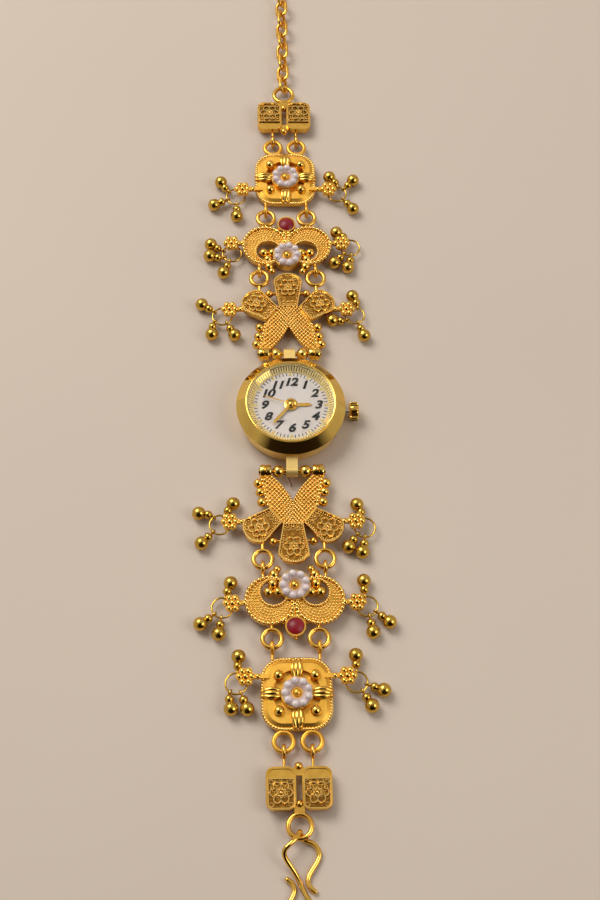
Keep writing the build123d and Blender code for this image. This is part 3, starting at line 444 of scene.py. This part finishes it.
def cut_foot(piece, level, threshold=0.1):
    """Slices the bottom off a piece and closes the cut."""
    open_mesh(piece)
    bpy.ops.mesh.bisect(
        plane_co=(0, 0, level * MM),
        plane_no=(0, 0, 1),
        use_fill=True,
        clear_inner=True,
        threshold=threshold * MM,
    )
    close_mesh()


clear_selection()
bpy.ops.mesh.primitive_ico_sphere_add(subdivisions=2, radius=MM)
granule = bpy.context.object
cut_foot(granule, -0.35)

clear_selection()
bpy.ops.mesh.primitive_uv_sphere_add(segments=ball_segments, ring_count=ball_rings, radius=MM)
ball = bpy.context.object
cut_foot(ball, lowest_ring, threshold=0.001)
print("granule faces:", len(granule.data.polygons), "ball faces:", len(ball.data.polygons))

# %% [markdown]
# ## Lines and wire
#
# Wire, rows of beads and the outlines of thin sheets all follow a line of points. An arc gives
# the points of a circle or of a part of one. Beads stand at equal steps, so a line is walked
# from end to end and a point is set down at every step.

# %% Points along an arc and at equal steps
def arc(centre_x, centre_y, radius, height, start=0.0, end=360.0, count=48):
    """Points on an arc, in millimetres, with its angles in degrees."""
    span = math.radians(end - start) / count
    first = math.radians(start)
    return [
        (
            centre_x + radius * math.cos(first + span * n),
            centre_y + radius * math.sin(first + span * n),
            height,
        )
        for n in range(count + (end - start < 360))
    ]


def walk(points, step, closed=False):
    """Places at equal steps along a line of points, in millimetres."""
    line = [Vector(point) for point in points]
    if closed:
        line.append(line[0])
    lengths = [(b - a).length for a, b in zip(line, line[1:])]
    count = max(2, round(sum(lengths) / step))
    spots, leg, passed = [], 0, 0.0
    for number in range(count if closed else count + 1):
        reach = sum(lengths) * number / count
        while leg < len(lengths) - 1 and passed + lengths[leg] < reach:
            passed += lengths[leg]
            leg += 1
        run = line[leg + 1] - line[leg]
        spots.append(line[leg] + run * ((reach - passed) / lengths[leg]))
    return spots


print("an arc of a quarter turn has", len(arc(0, 0, 1, 0, 0, 90, 12)), "points")

# %% [markdown]
# Round wire could be a cylinder bent along its path. It is easier as a curve: the line is
# drawn first, and a bevel gives it a round section, which may swell and taper on its way.
# Converting turns it into a mesh that can be joined with others.

# %% Draw a line and make it wire
def drawn_line(points, closed=False, sizes=None):
    """A bare line through the points, in millimetres, picked up and ready to be shaped."""
    curve = bpy.data.curves.new("line", "CURVE")
    curve.dimensions = "3D"
    spline = curve.splines.new("POLY")
    spline.points.add(len(points) - 1)
    for number, (knot, point) in enumerate(zip(spline.points, points)):
        knot.co = (*(Vector(point) * MM), 1)
        knot.radius = sizes[number] if sizes else 1.0
    spline.use_cyclic_u = closed
    line = bpy.data.objects.new("line", curve)
    bpy.context.collection.objects.link(line)
    hold(line)
    return line


def wire(points, thickness, closed=False, sizes=None, sides=1):
    """A round wire through the points, in millimetres."""
    strand = drawn_line(points, closed, sizes)
    strand.data.bevel_depth = thickness * MM
    strand.data.bevel_resolution = sides
    strand.data.use_fill_caps = True
    bpy.ops.object.convert(target="MESH")
    return bpy.context.object


# %% [markdown]
# ## Print on the dial
#
# The dial carries a track of fine black dashes, with a pale gold block at every fifth minute.
# They could be painted as an image, but as thin shapes that lie on the dial they stay crisp
# however near the camera comes. A dash is a cube pulled out to a bar, with its edges softened.

# %% Minute track
dial_top = 5.4
track_radius = 7.72
print_thickness = 0.02
print_edge = print_thickness / 4


def bar(length, width, thickness, edge, steps=1):
    """A flat bar that lies along X, in millimetres, with softened edges."""
    clear_selection()
    bpy.ops.mesh.primitive_cube_add(size=MM)
    blank = bpy.context.object
    blank.scale = (length, width, thickness)
    settle(blank)
    open_mesh(blank)
    bpy.ops.mesh.bevel(offset=edge * MM, segments=steps)
    close_mesh()
    return blank


def on_track(minutes):
    """Places on the minute track, each turned to point away from the middle."""
    angles = [math.radians(6 * minute) for minute in minutes]
    return [
        place(track_radius * math.cos(a), track_radius * math.sin(a), dial_top, a)
        for a in angles
    ]


minute_dash = bar(0.74, 0.19, print_thickness, print_edge)
five_block = bar(0.78, 0.60, print_thickness, print_edge)
dashes = strew(minute_dash, on_track([m for m in range(60) if m % 5]))
put_on(dashes, "minute_track", "watch_head", ink)
blocks = strew(five_block, on_track(range(0, 60, 5)))
put_on(blocks, "five_minute_blocks", "watch_head", track_gold)
discard(minute_dash, five_block)

# %% [markdown]
# The numerals are large, wide and leaning, and all stand upright whatever the hour. Letters
# are best left to a text object, which has a lean, a weight and a bevel of its own. It is made
# a mesh, widened, and moved to its hour. The ring of numerals is a little wider than high.

# %% Numerals
numeral_radius = 5.72
numeral_ring_width = 1.04
numeral_size = 2.70
numeral_stretch = 1.16
numeral_lean = 0.28
numeral_swell = 0.02
numeral_bevel = 0.085
numeral_depth = 0.008
numeral_spacing = 0.92
numeral_lift = 0.07

numerals = []
for hour in range(1, 13):
    clear_selection()
    bpy.ops.object.text_add()
    numeral = bpy.context.object
    numeral.data.body = str(hour)
    numeral.data.size = numeral_size * MM
    numeral.data.shear = numeral_lean
    numeral.data.offset = numeral_swell * MM
    numeral.data.bevel_depth = numeral_bevel * MM
    numeral.data.bevel_resolution = 0
    numeral.data.extrude = numeral_depth * MM
    numeral.data.space_character = numeral_spacing
    numeral.data.align_x, numeral.data.align_y = "CENTER", "CENTER"
    hold(numeral)
    bpy.ops.object.convert(target="MESH")
    numeral = bpy.context.object
    angle = math.radians(90 - 30 * hour)
    x = numeral_radius * numeral_ring_width * math.cos(angle)
    y = numeral_radius * math.sin(angle)
    numeral.data.transform(Matrix.Diagonal((numeral_stretch, 1, 1, 1)))
    numeral.data.transform(place(x, y, dial_top + numeral_lift))
    numerals.append(numeral)
put_on(joined(numerals), "numerals", "watch_head", ink, 20)

# %% [markdown]
# ## Fluted ring inside the bezel
#
# Between the dial and the crystal a sloping ring catches the light in fine radial flutes, and
# a pale wall stands round it. Their pale gold is their own, but it is raised and made mostly
# non-metallic as painted light against the shade under the crystal. Such a ring could be spun
# from a profile. Here it grows from one circle instead: the circle is extruded and resized from
# ring to ring, and the last ring is bridged to the first, so that the band closes on itself.

# %% Grow a band from a circle
def hoop(rings, count=96):
    """A closed band round Z through circles given as radius and height, in millimetres."""
    radius, height = rings[0]
    clear_selection()
    bpy.ops.mesh.primitive_circle_add(
        vertices=count,
        radius=radius * MM,
        location=(0, 0, height * MM),
        rotation=(0, 0, math.pi / 2),
    )
    band = bpy.context.object
    settle(band)
    open_mesh(band)
    for next_radius, next_height in rings[1:]:
        rise = (0, 0, (next_height - height) * MM)
        bpy.ops.mesh.extrude_region_move(TRANSFORM_OT_translate={"value": rise})
        share = next_radius / radius
        bpy.ops.transform.resize(value=(share, share, 1), center_override=(0, 0, 0))
        radius, height = next_radius, next_height
    bpy.ops.mesh.select_all(action="DESELECT")
    bpy.ops.mesh.select_non_manifold()
    bpy.ops.mesh.bridge_edge_loops()
    turn_outwards()
    close_mesh()
    return band


# %% [markdown]
# One flute is a ridge with round edges, laid on the slope of the ring and copied all the way
# round. The slope is worked out from the ring's foot and top, so the flutes always lie on it.

# %% Flutes on their ring
flute_count = 96
flute_length, flute_width, flute_height = 1.48, 0.40, 0.10
flute_edge = 0.045
flute_radius, flute_level = 8.73, 5.97
inner_foot, outer_top = (8.12, 5.44), (9.36, 6.46)
wall = [(9.38, 6.55), (9.60, 6.62), (9.62, 7.26), (9.69, 7.26), (9.69, 6.55)]

slope = math.atan2(outer_top[1] - inner_foot[1], outer_top[0] - inner_foot[0])
flute = bar(flute_length, flute_width, flute_height, flute_edge, steps=2)
flute.data.transform(Matrix.Rotation(-slope, 4, "Y"))
flute.data.transform(place(flute_radius, 0, flute_level))
flutes = [
    copy_to(flute, Matrix.Rotation(2 * math.pi * n / flute_count, 4, "Z"))
    for n in range(flute_count)
]
flutes.append(hoop([inner_foot, outer_top, (outer_top[0], inner_foot[1])]))
flutes.append(hoop(wall))
put_on(joined(flutes), "rehaut_flutes", "watch_head", rehaut_gold_painted_light, 40)
discard(flute)

# %% [markdown]
# A bright lip runs round the crystal. The hands are held by a boss, which is a thin disc with
# a collar of wire on it, and the second hand by a small cap. Both are bands with a hole in
# the middle too fine to see.

# %% Lip, hand boss and cap
lip_rings = [(9.58, 7.20), (9.62, 7.33), (9.76, 7.38), (9.90, 7.33), (9.94, 7.20)]
boss_rings = [
    (0.02, 5.72), (1.42, 5.72), (1.50, 5.76), (1.42, 5.80), (1.02, 5.80), (0.02, 5.80)
]
cap_rings = [(0.02, 6.23), (0.50, 6.23), (0.50, 6.30), (0.36, 6.40), (0.02, 6.44)]
collar_line, collar_wire = arc(0, 0, 0.98, 5.84, count=32), 0.13

put_on(hoop(lip_rings), "crystal_lip", "watch_head", ball_gold, 40)
boss = joined([hoop(boss_rings, 48), wire(collar_line, collar_wire, True, sides=2)])
put_on(boss, "hand_boss", "hour_hand_group", ball_gold, 40)
put_on(hoop(cap_rings, 32), "hand_cap", "second_hand_group", ball_gold, 40)

# %% [markdown]
# ## Granules on the fan link
#
# The two arms of the first link are covered by rows of fine granules that follow the inner
# edge and meet in chevrons. On the real link each granule is soldered on by itself. Here the
# arms' inner edge is moved outwards again and again, each row is walked at equal steps, and
# whatever falls off the arm is left out.

# %% Say where an arm begins and ends
arm_inner = ((0.0, 22.0), (1.1, 19.85), (2.184, 18.16), (3.4, 16.75), (4.55, 15.6), (7.0, 13.6))
arm_outer = ((15.6, 6.5), (23.3, 5.0), (27.1, 2.3))
arm_start, arm_end = 15.75, 27.1
arm_margin = 0.3


def read_off(knots, along):
    """Reads a line of knots, each of them a place along it and the value there."""
    for (start, low), (end, high) in zip(knots, knots[1:]):
        if start <= along <= end:
            return low + (high - low) * (along - start) / (end - start)
    return knots[-1][1]


def on_arm(x, y):
    """Whether a point is on the V of the arms, a little inside its outer edge."""
    return arm_start <= y <= arm_end and x < read_off(arm_outer, y) - arm_margin


print("the arms meet at", read_off(arm_inner, 0), "mm and part to", read_off(arm_inner, 7))

# %% Lay the granules in chevrons
plate_floor = 2.65
granule_radius, granule_lift = 0.33, 0.12
row_count, row_step, first_row = 16, 1.02, 0.40
granule_step = 0.70
middle_line = 0.15
side_line = [(6.62, 15.9, 2.35), (5.28, 22.6, 2.35)]
side_step, side_radius = 0.86, 0.46

granules = []
for row in range(row_count):
    shift = first_row + row * row_step
    line = [
        (tenth / 10, read_off(arm_inner, tenth / 10) + shift, plate_floor) for tenth in range(71)
    ]
    for spot in walk(line, granule_step):
        if on_arm(spot.x, spot.y):
            both = pair(spot.x, spot.y, plate_floor + granule_lift, granule_radius)
            granules += both[:1] if spot.x < middle_line else both
print("granules on one pair of arms:", len(granules))
for spot in walk(side_line, side_step):
    granules += pair(*spot, side_radius)
put_on_both(strew(granule, granules), "arm_granules", "fan", wire_gold, 180)

# %% [markdown]
# ## Petals of the fan link
#
# Each petal has a plain bright rim, a line of fine granules inside it, and a flower of six
# wire loops round a ball, with small scrolls in its corners. The petal's outline is known from
# the solid model: a straight root, flaring sides and an arched tip.

# %% Draw a petal's outline and a wire flower
petal_root, petal_half_width = 1.99, 3.09
petal_root_level, petal_shoulder, petal_arch = 0.21, 2.5, 2.3
rim_top = 2.95


def petal_rim(length):
    """The middle of a petal's rim, in the petal's own directions."""
    shoulder = length - petal_shoulder
    outline = [(-petal_root, petal_root_level), (petal_root, petal_root_level)]
    for n in range(17):
        angle = math.pi * n / 16
        outline.append(
            (petal_half_width * math.cos(angle), shoulder + petal_arch * math.sin(angle))
        )
    return [(x, y, rim_top) for x, y in outline]


def wire_flower(x, y, height, size=1.10):
    """Six loops of wire round a ring with a ball in it."""
    ring = arc(x, y, 0.52 * size, height + 0.05, count=16)
    strands = [wire(ring, 0.13, True)]
    for n in range(6):
        angle = math.radians(60 * n)
        middle_x = x + 1.35 * size * math.cos(angle)
        middle_y = y + 1.35 * size * math.sin(angle)
        loop = arc(middle_x, middle_y, 0.66 * size, height, count=16)
        strands.append(wire(loop, 0.19, True))
    strands.append(copy_to(ball, place(x, y, height + 0.05, 0, 0.32 * size)))
    return strands


def scroll(x, y, radius, height, thickness=0.13):
    """A small curl of wire, open on one side."""
    return wire(arc(x, y, radius, height, 20, 340, 10), thickness)


print("a petal's rim has", len(petal_rim(9.1)), "corners")

# %% [markdown]
# A petal is wired once for the long one in the middle and once for the two short ones beside
# it. Everything in it is placed from its outline and its length, so both come from one
# function.

# %% Wire the three petals
flower_share = 0.58
flower_lift, scroll_lift, bead_lift = 0.32, 0.16, 0.1
rim_wire, bead_radius, bead_step = 0.27, 0.21, 0.52
centre_length, side_length = 9.1, 8.0
petal_places = [place(0, 27.1, 0)]
petal_places += [place(3.65 * w, 25.2, 0, -math.radians(52) * w) for w in (1, -1)]


def petal(length):
    """All the wires of one petal."""
    rim = petal_rim(length)
    strands = [wire([(1.02 * x, y, z + 0.05) for x, y, z in rim], rim_wire, True)]
    inside = [(0.84 * x, 0.93 * y + 0.30, plate_floor + bead_lift) for x, y, z in rim]
    strands += [
        copy_to(granule, place(*spot, 0, bead_radius)) for spot in walk(inside, bead_step, True)
    ]
    strands += wire_flower(0, length * flower_share, plate_floor + flower_lift)
    tip = length - 1.35
    curls = [(-1.0, 1.25, 0.42), (0, 1.15, 0.42), (1.0, 1.25, 0.42)]
    curls += [(-1.5, tip, 0.36), (1.5, tip, 0.36)]
    strands += [scroll(x, y, radius, plate_floor + scroll_lift) for x, y, radius in curls]
    return joined(strands)


def three_petals(make):
    """The middle petal and the two beside it, each made at its own length and then placed."""
    centre, side = make(centre_length), make(side_length)
    masters = (centre, side, side)
    petals = [copy_to(master, spot) for master, spot in zip(masters, petal_places)]
    discard(centre, side)
    return joined(petals)


put_on_both(three_petals(petal), "petal_wires", "fan", wire_gold)

# %% [markdown]
# The ground under each flower is a thin lining of the pitted gold, with its painted highlights
# and painted shade, cut to the petal's outline as a goldsmith cuts sheet: the outline is drawn,
# filled with one face, and given a thickness.

# %% Line the petals
lining_thickness = 0.06
lining_lift = 0.01


def lining(outline, height):
    """A thin sheet with the given outline, in millimetres."""
    drawn_line([(x, y, height) for x, y in outline], True)
    bpy.ops.object.convert(target="MESH")
    sheet = bpy.context.object
    open_mesh(sheet)
    bpy.ops.mesh.edge_face_add()
    rise = (0, 0, lining_thickness * MM)
    bpy.ops.mesh.extrude_region_move(TRANSFORM_OT_translate={"value": rise})
    turn_outwards()
    close_mesh()
    return sheet


def petal_ground(length):
    """A lining a little smaller than the petal's rim."""
    outline = [(0.93 * x, 0.97 * y + 0.1) for x, y, z in petal_rim(length)]
    return lining(outline, plate_floor + lining_lift)


put_on_both(
    three_petals(petal_ground), "petal_grounds", "fan", filigree_gold_painted_shade, 30
)

# %% [markdown]
# ## Balls
#
# The bells hang from florets of seven balls, each floret with one more ball between it and
# the link. The solid model has every ball as stacked discs, and here the full ball goes over
# them.

# %% Balls of the florets
floret_places = {"fan": (13.4, 26.6), "paisley": (12.9, 44.9), "square": (10.3, 60.6)}
floret_ring, floret_level, floret_radius = 1.25, 2.6, 0.76
floret_middle_level, floret_middle_radius = 2.72, 0.77
floret_foot, floret_foot_radius = 2.5, 0.62

for link, (x, y) in floret_places.items():
    spots = pair(x, y, floret_middle_level, floret_middle_radius)
    for n in range(6):
        angle = math.radians(60 * n)
        petal_x = x + floret_ring * math.cos(angle)
        petal_y = y + floret_ring * math.sin(angle)
        spots += pair(petal_x, petal_y, floret_level, floret_radius)
    spots += pair(x - floret_foot, y, floret_level, floret_foot_radius)
    put_on_both(
        strew(ball, spots), f"floret_balls_{link}", link, ball_gold, 180
    )

# %% [markdown]
# Larger balls stand beside the arms of the first link and between its petals, and four on the
# cushion of the third link, one at each corner of its pearls.

# %% Balls of the arms and the cushion
low_level = 2.15
large_radius = 1.12
arm_ball_radius, notch_ball_radius = 1.06, 0.92
arm_ball_places = [(7.35, 17.4), (6.90, 19.5), (6.60, 21.9)]
notch_ball_place = (4.30, 31.0)
square_middle = 64.1
cushion_reach, cushion_level = 3.7, 2.75

spots = pair(*notch_ball_place, low_level, notch_ball_radius)
for x, y in arm_ball_places:
    spots += pair(x, y, low_level, arm_ball_radius)
put_on_both(strew(ball, spots), "arm_balls", "fan", ball_gold, 180)

spots = []
for way in (1, -1):
    spots += pair(
        cushion_reach, square_middle + way * cushion_reach, cushion_level, large_radius
    )
put_on_both(strew(ball, spots), "cushion_balls", "square", ball_gold, 180)

# %% [markdown]
# On the second link balls crowd round the pearls, and a double row of small ones runs down
# the stem between the crescents.

# %% Balls of the second link
crowd_places = [(4.25, 38.5), (4.5, 40.55), (5.45, 42.4), (3.4, 42.4)]
small_places, small_radius = [(3.55, 37.3), (2.3, 48.6)], 0.82
stem_start, stem_end, stem_rows = 44.695, 47.805, 5
stem_offset, stem_level, stem_radius = 0.5, 2.45, 0.58

spots = []
for x, y in crowd_places:
    spots += pair(x, y, low_level, large_radius)
for x, y in small_places:
    spots += pair(x, y, low_level, small_radius)
for row in range(stem_rows):
    y = stem_start + (stem_end - stem_start) * row / (stem_rows - 1)
    spots += pair(stem_offset, y, stem_level, stem_radius)
put_on_both(strew(ball, spots), "crowd_balls", "paisley", ball_gold, 180)

# %% [markdown]
# ## Beds for the pearls
#
# Each ring of pearls sits in a paler, pinkish bed, so no gold shows between one pearl and the
# next, and the bead in the middle stands in a small dish. The bed's pink is darker than the
# pearls: it is painted shade in the gaps between them. A bed is a band like the ring inside
# the bezel, drawn round the middle of the watch and then moved to its link.

# %% Bed the pearls
paisley_middle = 41.2
bed_depth = 0.42
bed_tops = {"paisley": (paisley_middle, 3.55), "square": (square_middle, 3.15)}

for link, (middle, top) in bed_tops.items():
    bed_rings = [
        (1.12, top - bed_depth), (1.30, top + 0.02), (1.9, top + 0.18), (2.75, top + 0.20),
        (3.05, top), (3.05, top - bed_depth),
    ]
    bed = hoop(bed_rings, 54)
    bed.data.transform(place(0, middle, 0))
    put_on_both(bed, f"pearl_bed_{link}", link, pearl_gap_painted_shade, 60)

# %% [markdown]
# ## Beaded crescents
#
# The crescents of the second link are edged with granules along their outer and inner rims,
# and a finer scatter fills the field between them. A crescent is a disc with a smaller disc
# cut out near its edge, so both rims are circles, and the field is filled by ever smaller
# circles that leave out whatever falls into the hole.

# %% Bead the crescents
crescent_x, crescent_y, crescent_radius = 5.1, 44.3, 5.3
hole_x, hole_y, hole_radius = 4.35, 42.6, 2.75
rim_inset = 0.25
outer_bead, outer_step, outer_level = 0.50, 0.92, 2.62
inner_bead, inner_step, inner_level = 0.30, 0.52, 2.72
field_bead, field_step, field_level = 0.27, 0.66, 2.45
field_rings, field_inset, field_spacing, field_margin = 5, 0.35, 0.62, 0.75


def beads_along(points, size, step, height):
    """Places for beads at equal steps along a closed line."""
    return [place(p.x, p.y, height, 0, size) for p in walk(points, step, True)]


beads = []
for way in (1, -1):
    outer_rim = arc(way * crescent_x, crescent_y, crescent_radius - rim_inset, 0)
    inner_rim = arc(way * hole_x, hole_y, hole_radius + rim_inset, 0)
    beads += beads_along(outer_rim, outer_bead, outer_step, outer_level)
    beads += beads_along(inner_rim, inner_bead, inner_step, inner_level)
    for ring in range(1, field_rings + 1):
        radius = crescent_radius - field_inset - field_spacing * ring
        for spot in walk(arc(way * crescent_x, crescent_y, radius, 0), field_step, True):
            gap = math.hypot(spot.x - way * hole_x, spot.y - hole_y) - hole_radius
            if gap > field_margin:
                beads.append(place(spot.x, spot.y, field_level, 0, field_bead))
print("beads on one pair of crescents:", len(beads))
put_on_both(strew(granule, beads), "crescent_beads", "paisley", wire_gold, 180)

# %% [markdown]
# ## Square link
#
# The cushion of the third link is edged with a close line of fine beads that looks like a
# thin rope from a distance. They stand at equal steps along a square with round corners, which
# is four quarter circles one after the other.

# %% Rope edge
cushion_half_width, cushion_half_length, cushion_corner = 7.2, 7.5, 4.4
rope_inset, rope_level = 0.3, 1.95
rope_bead, rope_step = 0.42, 0.62

rounded = []
for x_way, y_way, start in ((1, 1, 0), (-1, 1, 90), (-1, -1, 180), (1, -1, 270)):
    rounded += arc(
        x_way * (cushion_half_width - cushion_corner),
        square_middle + y_way * (cushion_half_length - cushion_corner),
        cushion_corner - rope_inset,
        rope_level,
        start,
        start + 90,
        10,
    )
rope = strew(granule, beads_along(rounded, rope_bead, rope_step, rope_level))
put_on_both(rope, "rope_edge", "square", wire_gold, 180)

# %% [markdown]
# Four ribbed leaves reach from the pearls to the edge, each of three ribs that spread and
# close again. A rib could be carved from the leaf, but it is simpler as a wire that swells
# and rises in its middle and tapers to both ends.

# %% Ribbed leaves
rib_start, rib_length = 3.0, 4.0
rib_level, rib_rise = 2.45, 0.35
rib_offsets = {-0.80: 0.42, 0.0: 0.50, 0.80: 0.42}
rib_points = 10

ribs = []
for quarter in range(4):
    for offset, thickness in rib_offsets.items():
        line, sizes = [], []
        for n in range(rib_points + 1):
            t = n / rib_points
            swell = 4 * t * (1 - t)
            x = rib_start + rib_length * t
            line.append((x, offset * (0.45 + 0.55 * swell), rib_level + rib_rise * swell))
            sizes.append(0.55 + 0.75 * swell)
        rib = wire(line, thickness, sizes=sizes, sides=3)
        rib.data.transform(place(0, square_middle, 0, math.radians(90 * quarter)))
        ribs.append(rib)
put_on_both(joined(ribs), "leaf_ribs", "square", ball_gold)

# %% [markdown]
# ## End plaques
#
# The last link's two plaques have a plain band at their inner end, and beyond it the same wire
# flower as the petals, deeper set, on the pitted ground, whose darkness is painted shade, and
# inside a plain wire rim with a scroll in each corner.

# %% Plaque flowers
plaque_floor = 2.4
plaque_x, plaque_flower_y = 3.55, 84.0
plaque_flower_lift, plaque_rim_lift = 0.30, 0.22
plaque_rim_wire, plaque_scroll_wire = 0.20, 0.12
field_shape = [(-2.5, 81.3), (2.5, 81.3), (2.5, 86.6), (1.9, 87.0), (-1.9, 87.0), (-2.5, 86.6)]
corner_curls = [(-1.9, 81.9), (1.9, 81.9), (-1.9, 86.3), (1.9, 86.3)]
curl_radius = 0.42

plaques, grounds = [], []
for way in (1, -1):
    middle = way * plaque_x
    plaques += wire_flower(middle, plaque_flower_y, plaque_floor + plaque_flower_lift)
    field = [(middle + x, y) for x, y in field_shape]
    rim = [(x, y, plaque_floor + plaque_rim_lift) for x, y in field]
    plaques.append(wire(rim, plaque_rim_wire, True))
    grounds.append(lining(field, plaque_floor + lining_lift))
    for x, y in corner_curls:
        level = plaque_floor + scroll_lift
        plaques.append(scroll(middle + x, y, curl_radius, level, plaque_scroll_wire))
put_on_both(joined(plaques), "plaque_wires", "end", wire_gold)
put_on_both(joined(grounds), "plaque_grounds", "end", filigree_gold_painted_shade, 30)

# %% [markdown]
# ## Knuckles
#
# The first link turns on two barrels that are far brighter than the link itself. A barrel is a
# short wire along the bar whose thickness swells and dips, with a groove in its middle.

# %% Polish the knuckles
barrel_x, barrel_y, barrel_z = 5.7, 14.7, 2.4
barrel_radius = 1.54
half_barrel = [(0.08, 0.90), (0.2, 1.0), (0.85, 1.0), (1.1, 0.94), (1.17, 0.80)]
barrel_line = [(-x, size) for x, size in reversed(half_barrel)] + half_barrel

barrels = []
for way in (1, -1):
    line = [(way * barrel_x + x, barrel_y, barrel_z) for x, size in barrel_line]
    barrels.append(wire(line, barrel_radius, sizes=[size for x, size in barrel_line], sides=6))
put_on_both(joined(barrels), "knuckle_shells", "fan", mirror_gold, 40)

# %% [markdown]
# ## Crown flutes
#
# The crown is fluted so that fingers can turn it. One ridge is a short wire whose ends dip
# into the crown. It is lifted to the rim, copied round the crown's axis, and the whole ring is
# moved to the height at which the solid crown sits, which is measured and not typed in.

# %% Flute the crown
ridge_count, ridge_wire = 22, 0.17
ridge_sink, ridge_rise = 0.06, 0.1
ridge_reach = [(1.75, 0), (1.6, ridge_rise), (0.35, ridge_rise), (0.2, 0)]

crown_low, crown_high = (Vector(corner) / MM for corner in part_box("crown"))
crown_middle = (crown_low + crown_high) / 2
crown_radius = (crown_high.z - crown_low.z) / 2
ridge = wire([(crown_high.x - reach, 0, rise) for reach, rise in ridge_reach], ridge_wire)
ridge.data.transform(place(0, 0, crown_radius - ridge_sink))
ridges = []
for n in range(ridge_count):
    turn = Matrix.Rotation(2 * math.pi * n / ridge_count, 4, "X")
    ridges.append(copy_to(ridge, place(0, 0, crown_middle.z) @ turn))
put_on(joined(ridges), "crown_flutes", "crown_group", mirror_gold)
discard(ridge)
print("crown from", tuple(crown_low), "to", tuple(crown_high))

# %% [markdown]
# ## Loose wire
#
# One thin dark end of wire hangs out under the lower bar. It belongs to no piece that moves by
# itself, so it rides on the head.

# %% Hang the loose wire
loose_line = [
    (-1.9, -14.9, 1.75), (-1.2, -15.3, 1.5), (-0.6, -15.9, 1.3), (-0.25, -16.8, 1.1),
    (-0.15, -17.7, 0.9),
]
put_on(wire(loose_line, 0.13), "loose_wire", "watch_head", dark_wire)
discard(granule, ball)

# %% [markdown]
# ## Floor
#
# The watch lies on a pale warm tabletop. A plane is all it takes, large enough that its edge
# is never in the picture, and a hair below the watch so that the two don't share a plane.

# %% Lay the floor
floor_size, floor_level = 3, -0.02 * MM

bpy.ops.mesh.primitive_plane_add(size=floor_size)
floor = bpy.context.object
floor.name = "tabletop"
floor.location.z = floor_level
floor_skin = skin(
    "tabletop", (0.60, 0.51, 0.435), (0.62, 0.53, 0.45), (0.7, 0.8),
    metal=0.0, drift=8, grain=900, pitted=0.05,
)
floor.data.materials.append(floor_skin)

# %% [markdown]
# ## Light
#
# A large soft lamp stands for a window and a weaker one fills the shadows. A square lamp this
# large, seen from the watch, gives every ball one soft highlight.

# %% Hang the lamps
def softbox(name, spot, size, power, colour=(1.0, 0.97, 0.92)):
    """A square lamp that faces the middle of the watch."""
    bpy.ops.object.light_add(type="AREA", location=spot)
    lamp = bpy.context.object
    lamp.name = name
    lamp.rotation_euler = (-Vector(spot)).to_track_quat("-Z", "Y").to_euler()
    lamp.data.size = size
    lamp.data.energy = power
    lamp.data.color = colour


softbox("window", spot=(-0.35, 0.35, 0.60), size=0.45, power=4.0)
softbox("fill", spot=(0.45, -0.20, 0.45), size=0.35, power=1.1)
print("lamps:", len(bpy.data.lights))

# %% [markdown]
# Polished gold shows what is around it, so the surroundings matter more than the lamps. The
# room is pale all round, brighter overhead, and dark only over the near edge of the table.
# That dark patch is what the lower half of the bezel and the front of every ball show. The
# room is one tone for the height over the table times one for the nearness to the dark patch.

# %% Paint the room
room_strength = 0.58
height_tones = [(0.0, (1.0, 0.93, 0.82)), (0.30, (0.80, 0.72, 0.62)), (0.75, (1.0, 0.96, 0.90))]
patch_tones = [(0.50, (1.0, 1.0, 1.0)), (0.78, (0.05, 0.035, 0.025)), (1.0, (0.03, 0.02, 0.015))]
patch_direction = (0.1, -0.80, 0.60)

world = bpy.data.worlds.new("room")
world.use_nodes = True
bpy.context.scene.world = world
room_nodes, room_links = world.node_tree.nodes, world.node_tree.links
room_nodes["Background"].inputs["Strength"].default_value = room_strength
direction = room_nodes.new("ShaderNodeTexCoord")


def toward(way):
    """How nearly a direction of the room points one way, from -1 to 1."""
    facing = room_nodes.new("ShaderNodeVectorMath")
    facing.operation = "DOT_PRODUCT"
    room_links.new(direction.outputs["Generated"], facing.inputs[0])
    facing.inputs[1].default_value = Vector(way).normalized()
    return facing.outputs["Value"]


ceiling = tones(room_nodes, room_links, toward((0, 0, 1)), height_tones)
near_dark = tones(room_nodes, room_links, toward(patch_direction), patch_tones)
shade = room_nodes.new("ShaderNodeVectorMath")
shade.operation = "MULTIPLY"
room_links.new(ceiling, shade.inputs[0])
room_links.new(near_dark, shade.inputs[1])
room_links.new(shade.outputs["Vector"], room_nodes["Background"].inputs["Color"])
bpy.context.scene.view_settings.view_transform = "Standard"
print("the room has", len(room_nodes), "nodes")
